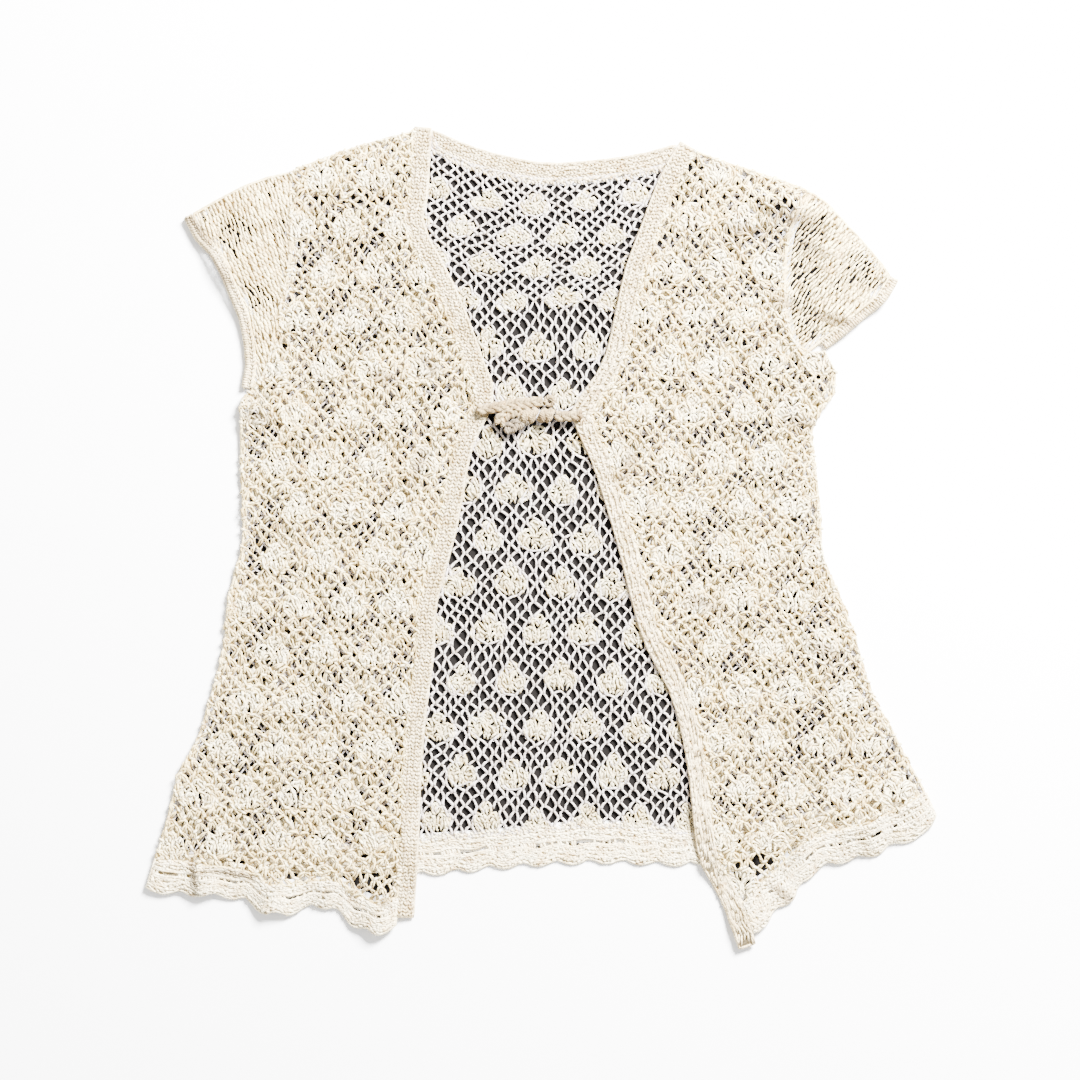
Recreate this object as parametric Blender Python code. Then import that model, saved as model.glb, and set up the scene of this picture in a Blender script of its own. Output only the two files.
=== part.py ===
"""Crocheted open-front cover-up with cap sleeves, laid flat on a table, in metres.

X runs across the garment, +Y towards the neck, +Z up from the table. The origin is on the table under
the middle of the garment. The back lies on the table, the fronts lie on the back, and a short crocheted
tie holds the two front bands together.
"""
import math

import bmesh
import bpy
from mathutils import Matrix, Vector

MM = 0.001

# Driving sizes
LACE_WALL = 1.6 * MM
LOOP_CELL_X = 20.0 * MM
LOOP_CELL_Y = 19.5 * MM
SHELL_RAISE = 1.4 * MM
SHELL_RIM = 3.6 * MM
GAP_HALF = 4.0 * MM
GAP_CLEARANCE = 9.0 * MM
SEAM_GAP = 0.3 * MM
BAND_WIDTH = 13.0 * MM
CUFF_WIDTH = 7.0 * MM
EDGE_STEP = 18.0 * MM
SCALLOP_PITCH = 27.0 * MM
SCALLOP_DEPTH = 4.5 * MM
SCALLOP_PARTS = 3
CURVE_PARTS = 12
LINE_END_CLEARANCE = 3.0 * MM
LINE_JOIN_CLEARANCE = 1.5 * MM
CUTTER_HALF_HEIGHT = 20.0 * MM
MERGE_DISTANCE = 0.01 * MM
SHELL_RIM_SHARE = 0.85

# Heights of the upper layer's underside over the table
EDGE_LEVEL = 1.9 * MM
UPPER_LEVEL = 3.3 * MM
LEVEL_RUN = 26.0 * MM
TABLE_CLEARANCE = 0.3 * MM
OVERHANG_SLOPE = 0.2
HEM_LEVEL_FROM = -150.0 * MM
HEM_LEVEL_RUN = 35.0 * MM
HIDDEN_SHELL_MARGIN = 32.0 * MM
SHOWN_MARGIN = 4.0 * MM
FOLD_REACH = 2.5

# Tie sizes, and the faces round its cord, knot and loop
CORD_RADIUS = 2.6 * MM
CORD_ROUNDNESS = 2
KNOT_SEGMENTS = 10
KNOT_RINGS = 6
LOOP_RADIUS = 3.4 * MM
LOOP_THICKNESS = 1.7 * MM
LOOP_STEPS = 12
LOOP_SIDES = 8

# Outlines, seen from above. Columns: x mm, y mm
LEFT_SIDE = (
    (-307, -256), (-297, -222), (-288, -188), (-274, -162), (-263, -126), (-253, -90),
    (-249, -48), (-243, -26), (-238, -8), (-237, 20), (-239, 60), (-239, 110),
)
RIGHT_SIDE = (
    (307, -203), (303, -195), (292, -177), (279, -150), (265, -126), (254, -90), (241, -52),
    (226, -18), (223, 20), (219, 60), (217, 90), (237, 122), (227, 149),
)
LEFT_ARMHOLE = ((-239, 110), (-221, 130), (-210, 178), (-200, 222), (-200, 292))
RIGHT_ARMHOLE = ((227, 149), (209, 147), (198, 166), (195, 198), (198, 242), (214, 277))
LEFT_SHOULDER = ((-200, 292), (-176, 302), (-144, 313), (-112, 322), (-88, 327))
RIGHT_SHOULDER = ((112, 316), (128, 307), (144, 301), (176, 291), (214, 277))
LEFT_SLEEVE_TOP = ((-284, 255), (-256, 271), (-240, 279), (-224, 286), (-200, 292))
RIGHT_SLEEVE_TOP = ((214, 277), (228, 268), (241, 254), (256, 238), (272, 219), (285, 205))
LEFT_CUFF = ((-238, 121), (-235, 140), (-240, 174), (-250, 198), (-260, 222), (-273, 235), (-284, 255))
RIGHT_CUFF = ((285, 205), (282, 195), (270, 185), (256, 174), (242, 162), (229, 152))
LEFT_OPENING = (
    (-102, -303), (-98, -240), (-96, -185), (-92, -137), (-86, -95), (-84, -55), (-68, 6),
    (-57, 66), (-46, 92), (-37, 113), (-45, 138), (-64, 189), (-84, 230), (-95, 249), (-91, 273),
    (-88, 327),
)
RIGHT_OPENING = (
    (159, -328), (145, -289), (128, -258), (123, -228), (118, -180), (106, -128), (84, -84),
    (72, -44), (62, -4), (46, 49), (35, 77), (25, 100), (44, 128), (54, 150), (68, 213),
    (79, 243), (96, 288), (112, 316),
)

# Sections across the hems and the neck band. Columns: edge x mm, edge y mm, seam x mm, seam y mm
LEFT_HEM = (
    (-316, -283, -307, -256), (-276, -286, -270, -261), (-240, -289, -236, -266), (-213, -304, -211, -280),
    (-191, -297, -189, -275), (-166, -296, -164, -274), (-148, -312, -146, -286), (-129, -318, -128, -293),
    (-116, -312, -114, -287),
)
RIGHT_HEM = (
    (172, -319, 162, -293), (186, -302, 172, -279), (202, -289, 188, -266), (213, -274, 203, -250),
    (224, -264, 217, -238), (243, -259, 240, -233), (269, -254, 262, -228), (288, -244, 278, -219),
    (307, -240, 294, -212), (316, -223, 307, -203),
)
BACK_HEM = (
    (-311, -277, -307, -256), (-260, -274, -256, -250), (-180, -270, -178, -247), (-96, -270, -96, -242),
    (-28, -264, -28, -237), (48, -260, 48, -231), (128, -262, 124, -237), (190, -250, 184, -228),
    (250, -238, 240, -214), (311, -222, 307, -203),
)
NECK = (
    (-86, 325.5, -86.5, 313.5), (-64, 316, -66, 304), (-48, 310, -50, 298), (-20, 303, -21, 291),
    (8, 299, 8, 287), (40, 301, 41, 289), (78, 306, 79, 294), (108, 314, 101.5, 299.5),
)

# Cross sections, as share of the width and height in mm. Bands have three rows of stitches
BAND_SECTION = ((0.0, 1.7), (0.17, 2.7), (0.34, 1.9), (0.5, 2.8), (0.66, 1.9), (0.83, 2.7), (1.0, 1.6))
HEM_SECTION = ((0.0, 1.6), (0.12, 2.4), (0.26, 1.7), (0.38, 2.4), (0.52, 1.5), (0.75, 1.8), (1.0, 1.3))
BACK_HEM_SECTION = ((0.0, 1.6), (0.12, 2.2), (0.26, 1.6), (0.38, 2.2), (0.52, 1.4), (0.75, 1.6), (1.0, 1.2))
CUFF_SECTION = ((0.0, 1.4), (0.5, 2.0), (1.0, 1.2))

# The centre of one shell on each panel. The rest of the panel's lace is counted from it
BACK_LATTICE = (-3.0 * MM, 0.0 * MM)
LEFT_LATTICE = (-134.0 * MM, -16.0 * MM)
RIGHT_LATTICE = (142.0 * MM, -12.0 * MM)
LEFT_SLEEVE_LATTICE = (-240.0 * MM, 200.0 * MM)
RIGHT_SLEEVE_LATTICE = (240.0 * MM, 200.0 * MM)

# Soft folds of the upper layer. Columns: x mm, y mm, run in degrees, half length, half width, height, in mm
FOLDS = (
    (-223, 102, -18, 26, 10, 6.0),
    (-250, 215, -62, 40, 11, 5.0),
    (-226, 246, -70, 38, 12, 4.5),
    (-267, -268, 88, 30, 9, 6.5),
    (-213, -290, 84, 26, 13, 7.0),
    (-130, -296, 88, 36, 16, 8.0),
    (-170, -270, 86, 22, 10, 3.0),
    (-112, -236, -72, 30, 9, 4.5),
    (182, 266, 16, 36, 12, 7.0),
    (112, 300, 20, 22, 9, 4.5),
    (262, 196, -22, 28, 9, 7.0),
    (246, 172, -40, 24, 9, 5.0),
    (236, 232, -28, 46, 13, 5.5),
    (228, 120, 34, 20, 10, 6.0),
    (212, -236, 66, 40, 13, 8.0),
    (262, -226, 40, 36, 12, 7.5),
    (296, -212, 30, 22, 10, 6.0),
    (140, -238, -52, 36, 11, 6.0),
    (166, -300, 74, 34, 14, 6.0),
    (186, -272, 58, 26, 10, 4.0),
    (-60, 178, -64, 60, 14, 2.5),
    (76, 226, 70, 46, 12, 3.0),
)

# Route of the tie's cord. Columns: x mm, y mm, centre height mm
CORD_LEFT = (
    (-50, 103, 9.2), (-44, 104, 9.3), (-38, 105.5, 9.2), (-31, 107, 8.0), (-24, 108.5, 6.8),
    (-16, 109.5, 6.2), (-7, 110, 6.1), (1.4, 110, 6.1),
)
CORD_RIGHT = ((12, 97.4, 7.6), (16, 97.1, 8.2), (20, 97, 9.0), (25, 97.2, 9.3), (33, 98, 9.2))
LOOP_PLACE = (7.3, 109.3, 5.4)
# Knot and free ends. Columns: name, x mm, y mm, centre height mm, half length, half width, half height, turn
TIE_LUMPS = (
    ("tie_knot", -8.8, 97.6, 7.9, 7.5, 5.5, 4.5, 0),
    ("tie_knot_side", 4.8, 97.6, 7.7, 6.5, 4.5, 4.2, 0),
    ("tie_end_long", -20.5, 88.6, 7.9, 9.2, 5.0, 4.4, 15),
    ("tie_end_short", -32.7, 92.8, 7.9, 5.0, 6.0, 4.4, 0),
)

# Colours in linear RGB
CREAM = (0.76, 0.70, 0.60, 1.0)
CREAM_BACK = (0.80, 0.76, 0.69, 1.0)
CREAM_BAND = (0.74, 0.67, 0.56, 1.0)
CREAM_TIE = (0.70, 0.61, 0.47, 1.0)
YARN_ROUGHNESS = 0.9


def remove_start_objects():
    for thing in list(bpy.data.objects):
        bpy.data.objects.remove(thing)


def yarn_material(name, colour):
    material = bpy.data.materials.new(name)
    material.use_nodes = True
    shader = material.node_tree.nodes["Principled BSDF"]
    shader.inputs["Base Color"].default_value = colour
    shader.inputs["Roughness"].default_value = YARN_ROUGHNESS
    shader.inputs["Metallic"].default_value = 0.0
    return material


def in_metres(table):
    return [Vector((x * MM, y * MM)) for x, y in table]


def curve_point(before, start, end, after, share):
    """A point of the smooth curve between start and end."""
    square = share * share
    cube = square * share
    return 0.5 * (
        2 * start + (end - before) * share
        + (2 * before - 5 * start + 4 * end - after) * square
        + (3 * start - before - 3 * end + after) * cube
    )


def fine_curve(table):
    """Close points along a smooth curve through the table's points."""
    knots = in_metres(table)
    knots = [2 * knots[0] - knots[1]] + knots + [2 * knots[-1] - knots[-2]]
    fine = []
    for index in range(1, len(knots) - 2):
        for part in range(CURVE_PARTS):
            fine.append(curve_point(*knots[index - 1:index + 3], part / CURVE_PARTS))
    return fine + [knots[-2]]


def even_places(line, step):
    """Where even steps along a line fall, as a point's index and the share of the way to the next."""
    lengths = [0.0]
    for start, end in zip(line, line[1:]):
        lengths.append(lengths[-1] + (end - start).length)
    steps = max(1, round(lengths[-1] / step))
    places = []
    index = 0
    for number in range(steps + 1):
        target = lengths[-1] * number / steps
        while index < len(line) - 2 and lengths[index + 1] < target:
            index += 1
        share = (target - lengths[index]) / (lengths[index + 1] - lengths[index])
        places.append((index, min(1.0, max(0.0, share))))
    return places


def read_places(line, places):
    return [line[index].lerp(line[index + 1], share) for index, share in places]


def smooth_line(table, step=EDGE_STEP):
    """Even points along a smooth curve through the table's points."""
    fine = fine_curve(table)
    return read_places(fine, even_places(fine, step))


def section_lines(table):
    """Seam and edge of a strip, with a seam point and an edge point for each section."""
    seam = fine_curve([(row[2], row[3]) for row in table])
    edge = fine_curve([(row[0], row[1]) for row in table])
    places = even_places(seam, EDGE_STEP)
    return read_places(seam, places), read_places(edge, places)


def above(line, y):
    return [point for point in line if point.y > y]


def beside(line, x, side):
    """The points of a line to the left of x, side -1, or to the right, side 1."""
    return [point for point in line if (point.x - x) * side > LINE_END_CLEARANCE]


def side_step(line, distance):
    """The line moved to its left by a distance, with mitred corners."""
    moved = []
    for index, point in enumerate(line):
        ahead = line[min(index + 1, len(line) - 1)] - point
        behind = point - line[max(index - 1, 0)]
        if index == 0:
            behind = ahead
        if index == len(line) - 1:
            ahead = behind
        first = Vector((-behind.y, behind.x)).normalized()
        second = Vector((-ahead.y, ahead.x)).normalized()
        middle = (first + second).normalized()
        moved.append(point + middle * distance / max(0.5, middle.dot(second)))
    return moved


def signed_area(polygon):
    area = 0.0
    for start, end in zip(polygon, polygon[1:] + polygon[:1]):
        area += start.x * end.y - end.x * start.y
    return 0.5 * area


def shrink(polygon, distance):
    """A closed outline drawn in by a distance on every side."""
    if signed_area(polygon) < 0:
        polygon = polygon[::-1]
    loop = [polygon[-1]] + polygon + [polygon[0]]
    return side_step(loop, distance)[1:-1]


def join_lines(*lines):
    """One closed outline from lines that run on from each other."""
    outline = []
    for line in lines:
        for point in line:
            if not outline or (point - outline[-1]).length > LINE_JOIN_CLEARANCE:
                outline.append(point)
    if (outline[0] - outline[-1]).length < LINE_JOIN_CLEARANCE:
        outline.pop()
    return outline


def is_inside(point, polygon):
    inside = False
    for start, end in zip(polygon, polygon[1:] + polygon[:1]):
        if (start.y > point.y) != (end.y > point.y):
            across = start.x + (point.y - start.y) / (end.y - start.y) * (end.x - start.x)
            if point.x < across:
                inside = not inside
    return inside


def edge_distance(point, polygon):
    nearest = 1.0
    for start, end in zip(polygon, polygon[1:] + polygon[:1]):
        run = end - start
        share = max(0.0, min(1.0, (point - start).dot(run) / run.length_squared))
        nearest = min(nearest, (point - start - run * share).length)
    return nearest


def inside_depth(point, polygon):
    """Distance to the outline, above zero inside it and below zero outside."""
    distance = edge_distance(point, polygon)
    return distance if is_inside(point, polygon) else -distance


def ease(value):
    value = max(0.0, min(1.0, value))
    return value * value * (3 - 2 * value)


def fold_rise(x, y):
    rise = 0.0
    for fold_x, fold_y, run, half_length, half_width, height in FOLDS:
        angle = math.radians(run)
        off_x = x - fold_x * MM
        off_y = y - fold_y * MM
        along = (off_x * math.cos(angle) + off_y * math.sin(angle)) / (half_length * MM)
        across = (off_y * math.cos(angle) - off_x * math.sin(angle)) / (half_width * MM)
        if abs(along) < FOLD_REACH and abs(across) < FOLD_REACH:
            rise = max(rise, height * MM * math.exp(-along * along - across * across))
    return rise


def upper_height(x, y):
    """Height of the underside of the fronts and sleeves over the table."""
    depth = inside_depth(Vector((x, y)), LOWER_LAYER)
    near_hem = ease((HEM_LEVEL_FROM - y) / HEM_LEVEL_RUN)
    edge_level = EDGE_LEVEL + (UPPER_LEVEL - EDGE_LEVEL) * near_hem
    if depth >= 0:
        level = edge_level + (UPPER_LEVEL - edge_level) * ease(depth / LEVEL_RUN)
    else:
        level = max(TABLE_CLEARANCE, edge_level + near_hem * OVERHANG_SLOPE * depth)
    return level + fold_rise(x, y)


def table_height(x, y):
    return 0.0


def lattice_height(height, lattice):
    """The height read at the corners of the lace's cells, straight between them."""
    known = {}

    def corner(column, row):
        if (column, row) not in known:
            x = lattice[0] + (column - 0.5) * LOOP_CELL_X
            y = lattice[1] + (row - 0.5) * LOOP_CELL_Y
            known[column, row] = height(x, y)
        return known[column, row]

    def read(x, y):
        across = (x - lattice[0]) / LOOP_CELL_X + 0.5
        up = (y - lattice[1]) / LOOP_CELL_Y + 0.5
        column = math.floor(across)
        row = math.floor(up)
        across -= column
        up -= row
        low = corner(column, row) * (1 - across) + corner(column + 1, row) * across
        high = corner(column, row + 1) * (1 - across) + corner(column + 1, row + 1) * across
        return low * (1 - up) + high * up

    return read


def cell_kind(column, row):
    """Shell, gap or net: shells stand in every second row, each row half a repeat on."""
    if row % 2:
        return "net"
    shifted = column + row // 2
    return "gap" if shifted % 2 else "shell"


def to_mesh_object(name, bm, material, collection):
    mesh = bpy.data.meshes.new(name)
    bm.to_mesh(mesh)
    bm.free()
    thing = bpy.data.objects.new(name, mesh)
    collection.objects.link(thing)
    thing.data.materials.append(material)
    return thing


def evaluated_mesh(thing):
    bpy.context.view_layer.update()
    graph = bpy.context.evaluated_depsgraph_get()
    return bpy.data.meshes.new_from_object(thing.evaluated_get(graph))


def outline_cutter(name, outline, collection):
    """An upright block with the outline's shape, from a filled flat curve."""
    curve = bpy.data.curves.new(name, "CURVE")
    curve.dimensions = "2D"
    curve.fill_mode = "BOTH"
    curve.extrude = CUTTER_HALF_HEIGHT
    spline = curve.splines.new("POLY")
    spline.points.add(len(outline) - 1)
    for point, place in zip(spline.points, outline):
        point.co = (place.x, place.y, 0.0, 1.0)
    spline.use_cyclic_u = True
    drawn = bpy.data.objects.new(name + "_curve", curve)
    collection.objects.link(drawn)
    mesh = evaluated_mesh(drawn)
    bpy.data.objects.remove(drawn)
    bm = bmesh.new()
    bm.from_mesh(mesh)
    bmesh.ops.remove_doubles(bm, verts=bm.verts, dist=MERGE_DISTANCE)
    bmesh.ops.recalc_face_normals(bm, faces=bm.faces)
    bm.to_mesh(mesh)
    bm.free()
    cutter = bpy.data.objects.new(name, mesh)
    collection.objects.link(cutter)
    cutter.hide_render = True
    cutter.display_type = "WIRE"
    return cutter


def cell_of(centre, lattice):
    column = round((centre.x - lattice[0]) / LOOP_CELL_X)
    row = round((centre.y - lattice[1]) / LOOP_CELL_Y)
    return column, row


def cell_grid(outline, lattice):
    """Square cells over the outline, with their centres on the lattice."""
    first_column = math.floor((min(p.x for p in outline) - lattice[0]) / LOOP_CELL_X) - 1
    last_column = math.ceil((max(p.x for p in outline) - lattice[0]) / LOOP_CELL_X) + 1
    first_row = math.floor((min(p.y for p in outline) - lattice[1]) / LOOP_CELL_Y) - 1
    last_row = math.ceil((max(p.y for p in outline) - lattice[1]) / LOOP_CELL_Y) + 1
    columns = last_column - first_column + 1
    rows = last_row - first_row + 1
    bm = bmesh.new()
    bmesh.ops.create_grid(bm, x_segments=columns, y_segments=rows, size=0.5)
    bmesh.ops.scale(bm, verts=bm.verts, vec=(columns * LOOP_CELL_X, rows * LOOP_CELL_Y, 1.0))
    middle = Vector((
        lattice[0] + (first_column + last_column) / 2 * LOOP_CELL_X,
        lattice[1] + (first_row + last_row) / 2 * LOOP_CELL_Y,
        0.0,
    ))
    bmesh.ops.translate(bm, verts=bm.verts, vec=middle)
    far = [f for f in bm.faces if inside_depth(f.calc_center_median().xy, outline) < -LOOP_CELL_X]
    bmesh.ops.delete(bm, geom=far, context="FACES")
    return bm


def cut_gaps(bm, faces):
    """A diamond opening through each of the cells."""
    if not faces:
        return
    bmesh.ops.inset_individual(bm, faces=faces, thickness=LOOP_CELL_Y / 2 - GAP_HALF)
    for face in faces:
        centre = face.calc_center_median()
        corners = list(face.verts)
        for corner in corners:
            spoke = corner.co - centre
            turned = Vector((spoke.x - spoke.y, spoke.x + spoke.y, 0.0)).normalized()
            corner.co = centre + turned * GAP_HALF
    bmesh.ops.delete(bm, geom=faces, context="FACES")


def raise_shells(bm, faces):
    """A low crowned dome on each of the cells."""
    if not faces:
        return
    bmesh.ops.inset_individual(bm, faces=faces, thickness=SHELL_RIM)
    rims = set()
    for face in faces:
        rims.update(face.verts)
    bmesh.ops.translate(bm, verts=list(rims), vec=(0.0, 0.0, SHELL_RAISE * SHELL_RIM_SHARE))
    crowns = bmesh.ops.poke(bm, faces=faces)["verts"]
    bmesh.ops.translate(bm, verts=crowns, vec=(0.0, 0.0, SHELL_RAISE * (1 - SHELL_RIM_SHARE)))


def lace_panel(name, outline, lattice, height, material, collection, cutters, shown=None, laced=True):
    """A lace wall inside the outline, with raised shells and cut gaps on its lattice."""
    outline = shrink(outline, SEAM_GAP / 2)
    bm = cell_grid(outline, lattice)
    gaps = []
    for face in bm.faces:
        centre = face.calc_center_median().xy
        is_gap = laced and cell_kind(*cell_of(centre, lattice)) == "gap"
        if is_gap and inside_depth(centre, outline) > GAP_CLEARANCE:
            if shown is None or inside_depth(centre, shown) > SHOWN_MARGIN:
                gaps.append(face)
    cut_gaps(bm, gaps)
    lower = list(bm.faces)
    made = bmesh.ops.extrude_face_region(bm, geom=lower, use_keep_orig=True)["geom"]
    upper_points = [item for item in made if isinstance(item, bmesh.types.BMVert)]
    upper = [item for item in made if isinstance(item, bmesh.types.BMFace)]
    bmesh.ops.translate(bm, verts=upper_points, vec=(0.0, 0.0, LACE_WALL))
    shells = []
    hidden_shells = []
    for face in upper:
        centre = face.calc_center_median().xy
        whole = abs(face.calc_area() - LOOP_CELL_X * LOOP_CELL_Y) < 1e-7
        if not laced or not whole or cell_kind(*cell_of(centre, lattice)) != "shell":
            continue
        if shown is None or inside_depth(centre, shown) > SHOWN_MARGIN:
            if inside_depth(centre, outline) > LOOP_CELL_X / 2:
                shells.append(face)
        elif inside_depth(centre, outline) > HIDDEN_SHELL_MARGIN:
            hidden_shells.append(face)
    raise_shells(bm, shells)
    if hidden_shells:
        crowns = bmesh.ops.poke(bm, faces=hidden_shells)["verts"]
        bmesh.ops.translate(bm, verts=crowns, vec=(0.0, 0.0, SHELL_RAISE))
    bmesh.ops.recalc_face_normals(bm, faces=bm.faces)
    panel = to_mesh_object(name, bm, material, collection)
    trim = panel.modifiers.new("outline", "BOOLEAN")
    trim.operation = "INTERSECT"
    trim.solver = "EXACT"
    trim.object = outline_cutter(name + "_outline", outline, cutters)
    mesh = evaluated_mesh(panel)
    panel.modifiers.clear()
    panel.data = mesh
    lift = lattice_height(height, lattice)
    for vertex in mesh.vertices:
        vertex.co.z += lift(vertex.co.x, vertex.co.y)
    return panel


def ribbed_strip(name, seam, edge, section, height, material, collection):
    """A strip lofted along its seam, with the section's ribs on top and a plain underside."""
    bm = bmesh.new()
    rings = []
    for seam_point, edge_point in zip(seam, edge):
        seam_height = height(seam_point.x, seam_point.y)
        edge_height = height(edge_point.x, edge_point.y)
        ring = []
        for share, thickness in section:
            place = seam_point.lerp(edge_point, share)
            base = seam_height + (edge_height - seam_height) * share
            ring.append(bm.verts.new((place.x, place.y, base + thickness * MM)))
        ring.append(bm.verts.new((edge_point.x, edge_point.y, edge_height)))
        ring.append(bm.verts.new((seam_point.x, seam_point.y, seam_height)))
        rings.append(ring)
    for ring, following in zip(rings, rings[1:]):
        for index in range(len(ring)):
            step = (index + 1) % len(ring)
            bm.faces.new((ring[index], ring[step], following[step], following[index]))
    bm.faces.new(rings[0])
    bm.faces.new(rings[-1])
    bmesh.ops.recalc_face_normals(bm, faces=bm.faces)
    return to_mesh_object(name, bm, material, collection)


def scalloped(seam, edge, plain=None):
    """Closer sections with a scalloped edge, whose seam stays on the panel's own outline."""
    close_seam = []
    close_edge = []
    for index in range(len(seam) - 1):
        parts = SCALLOP_PARTS
        if plain and plain(seam[index]) and plain(seam[index + 1]):
            parts = 1
        for part in range(parts):
            close_seam.append(seam[index].lerp(seam[index + 1], part / parts))
            close_edge.append(edge[index].lerp(edge[index + 1], part / parts))
    close_seam.append(seam[-1])
    close_edge.append(edge[-1])
    travelled = 0.0
    waved = []
    for index, point in enumerate(close_edge):
        if index:
            travelled += (point - close_edge[index - 1]).length
        wave = abs(math.cos(math.pi * travelled / SCALLOP_PITCH)) ** 3
        inward = (close_seam[index] - point).normalized()
        waved.append(point + inward * SCALLOP_DEPTH * wave)
    return close_seam, waved


def seam_strip(name, seam, edge, section, height, material, collection):
    """A strip that keeps half the seam's gap to its seam line."""
    clear_seam = [point + (end - point).normalized() * SEAM_GAP / 2 for point, end in zip(seam, edge)]
    return ribbed_strip(name, clear_seam, edge, section, height, material, collection)


def tie_cord(name, route, material, collection):
    curve = bpy.data.curves.new(name, "CURVE")
    curve.dimensions = "3D"
    curve.bevel_depth = CORD_RADIUS
    curve.bevel_resolution = CORD_ROUNDNESS
    curve.use_fill_caps = True
    spline = curve.splines.new("POLY")
    spline.points.add(len(route) - 1)
    for point, (x, y, z) in zip(spline.points, route):
        point.co = (x * MM, y * MM, z * MM, 1.0)
    cord = bpy.data.objects.new(name, curve)
    collection.objects.link(cord)
    curve.materials.append(material)
    return cord


def rounded_piece(name, radii, place, turn, material, collection):
    bm = bmesh.new()
    bmesh.ops.create_uvsphere(bm, u_segments=KNOT_SEGMENTS, v_segments=KNOT_RINGS, radius=1.0)
    bmesh.ops.scale(bm, verts=bm.verts, vec=radii)
    piece = to_mesh_object(name, bm, material, collection)
    piece.location = (place[0] * MM, place[1] * MM, place[2] * MM)
    piece.rotation_euler = (0.0, 0.0, math.radians(turn))
    return piece


def tie_loop(name, material, collection):
    """The small loop that stands out of the knot, lying flat on the lace."""
    bm = bmesh.new()
    bmesh.ops.create_circle(bm, segments=LOOP_SIDES, radius=LOOP_THICKNESS, cap_ends=False)
    bmesh.ops.rotate(bm, verts=bm.verts, cent=(0, 0, 0), matrix=Matrix.Rotation(math.pi / 2, 3, "X"))
    bmesh.ops.translate(bm, verts=bm.verts, vec=(LOOP_RADIUS, 0.0, 0.0))
    bmesh.ops.spin(
        bm, geom=bm.verts[:] + bm.edges[:], cent=(0, 0, 0), axis=(0, 0, 1), dvec=(0, 0, 0),
        angle=2 * math.pi, steps=LOOP_STEPS, use_merge=True, use_duplicate=False,
    )
    bmesh.ops.remove_doubles(bm, verts=bm.verts, dist=MERGE_DISTANCE)
    bmesh.ops.recalc_face_normals(bm, faces=bm.faces)
    loop = to_mesh_object(name, bm, material, collection)
    loop.location = tuple(value * MM for value in LOOP_PLACE)
    return loop


remove_start_objects()
garment = bpy.data.collections.new("crochet_cover_up")
cutter_set = bpy.data.collections.new("cutters")
bpy.context.scene.collection.children.link(garment)
bpy.context.scene.collection.children.link(cutter_set)

front_yarn = yarn_material("cotton_front", CREAM)
back_yarn = yarn_material("cotton_back", CREAM_BACK)
band_yarn = yarn_material("cotton_band", CREAM_BAND)
tie_yarn = yarn_material("cotton_tie", CREAM_TIE)

# Shared seam lines
left_side = smooth_line(LEFT_SIDE)
right_side = smooth_line(RIGHT_SIDE)
left_armhole = smooth_line(LEFT_ARMHOLE)
right_armhole = smooth_line(RIGHT_ARMHOLE)
left_shoulder = smooth_line(LEFT_SHOULDER)
right_shoulder = smooth_line(RIGHT_SHOULDER)
left_sleeve_top = smooth_line(LEFT_SLEEVE_TOP)
right_sleeve_top = smooth_line(RIGHT_SLEEVE_TOP)
left_cuff = smooth_line(LEFT_CUFF)
right_cuff = smooth_line(RIGHT_CUFF)
left_cuff_seam = side_step(left_cuff, -CUFF_WIDTH)
right_cuff_seam = side_step(right_cuff, -CUFF_WIDTH)
left_opening = smooth_line(LEFT_OPENING)
right_opening = smooth_line(RIGHT_OPENING)
left_band_seam = side_step(left_opening, BAND_WIDTH)
right_band_seam = side_step(right_opening, -BAND_WIDTH)
neck_seam, neck_edge = section_lines(NECK)
left_hem_seam, left_hem_edge = section_lines(LEFT_HEM)
right_hem_seam, right_hem_edge = section_lines(RIGHT_HEM)
back_hem_seam, back_hem_edge = section_lines(BACK_HEM)

# The outline of the layer on the table, which every upper piece lies on
LOWER_LAYER = join_lines(
    back_hem_edge, right_side, right_cuff[::-1], right_sleeve_top[::-1], right_shoulder[::-1],
    neck_edge[::-1], left_shoulder[::-1], left_sleeve_top[::-1], left_cuff[::-1], left_side[::-1],
)

# Outlines of the cut panels, counter-clockwise from the hem
back_outline = join_lines(
    back_hem_seam, right_side, right_armhole, right_shoulder[::-1], neck_seam[::-1],
    left_shoulder[::-1], left_armhole[::-1], left_side[::-1],
)
opening_outline = join_lines(left_opening[::-1], right_opening)
left_front_outline = join_lines(
    left_hem_seam, above(left_band_seam, left_hem_seam[-1].y),
    beside(left_shoulder, left_band_seam[-1].x, -1)[::-1], left_armhole[::-1], left_side[::-1],
)
right_front_outline = join_lines(
    right_hem_seam, right_side, right_armhole, beside(right_shoulder, right_band_seam[-1].x, 1)[::-1],
    above(right_band_seam, right_hem_seam[0].y)[::-1],
)
left_sleeve_outline = join_lines(
    above(left_armhole, left_cuff_seam[0].y), beside(left_sleeve_top, left_cuff_seam[-1].x, 1)[::-1],
    left_cuff_seam[::-1],
)
right_sleeve_outline = join_lines(
    beside(right_armhole, right_cuff_seam[-1].x, -1), beside(right_sleeve_top, right_cuff_seam[0].x, -1),
    right_cuff_seam,
)


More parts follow.
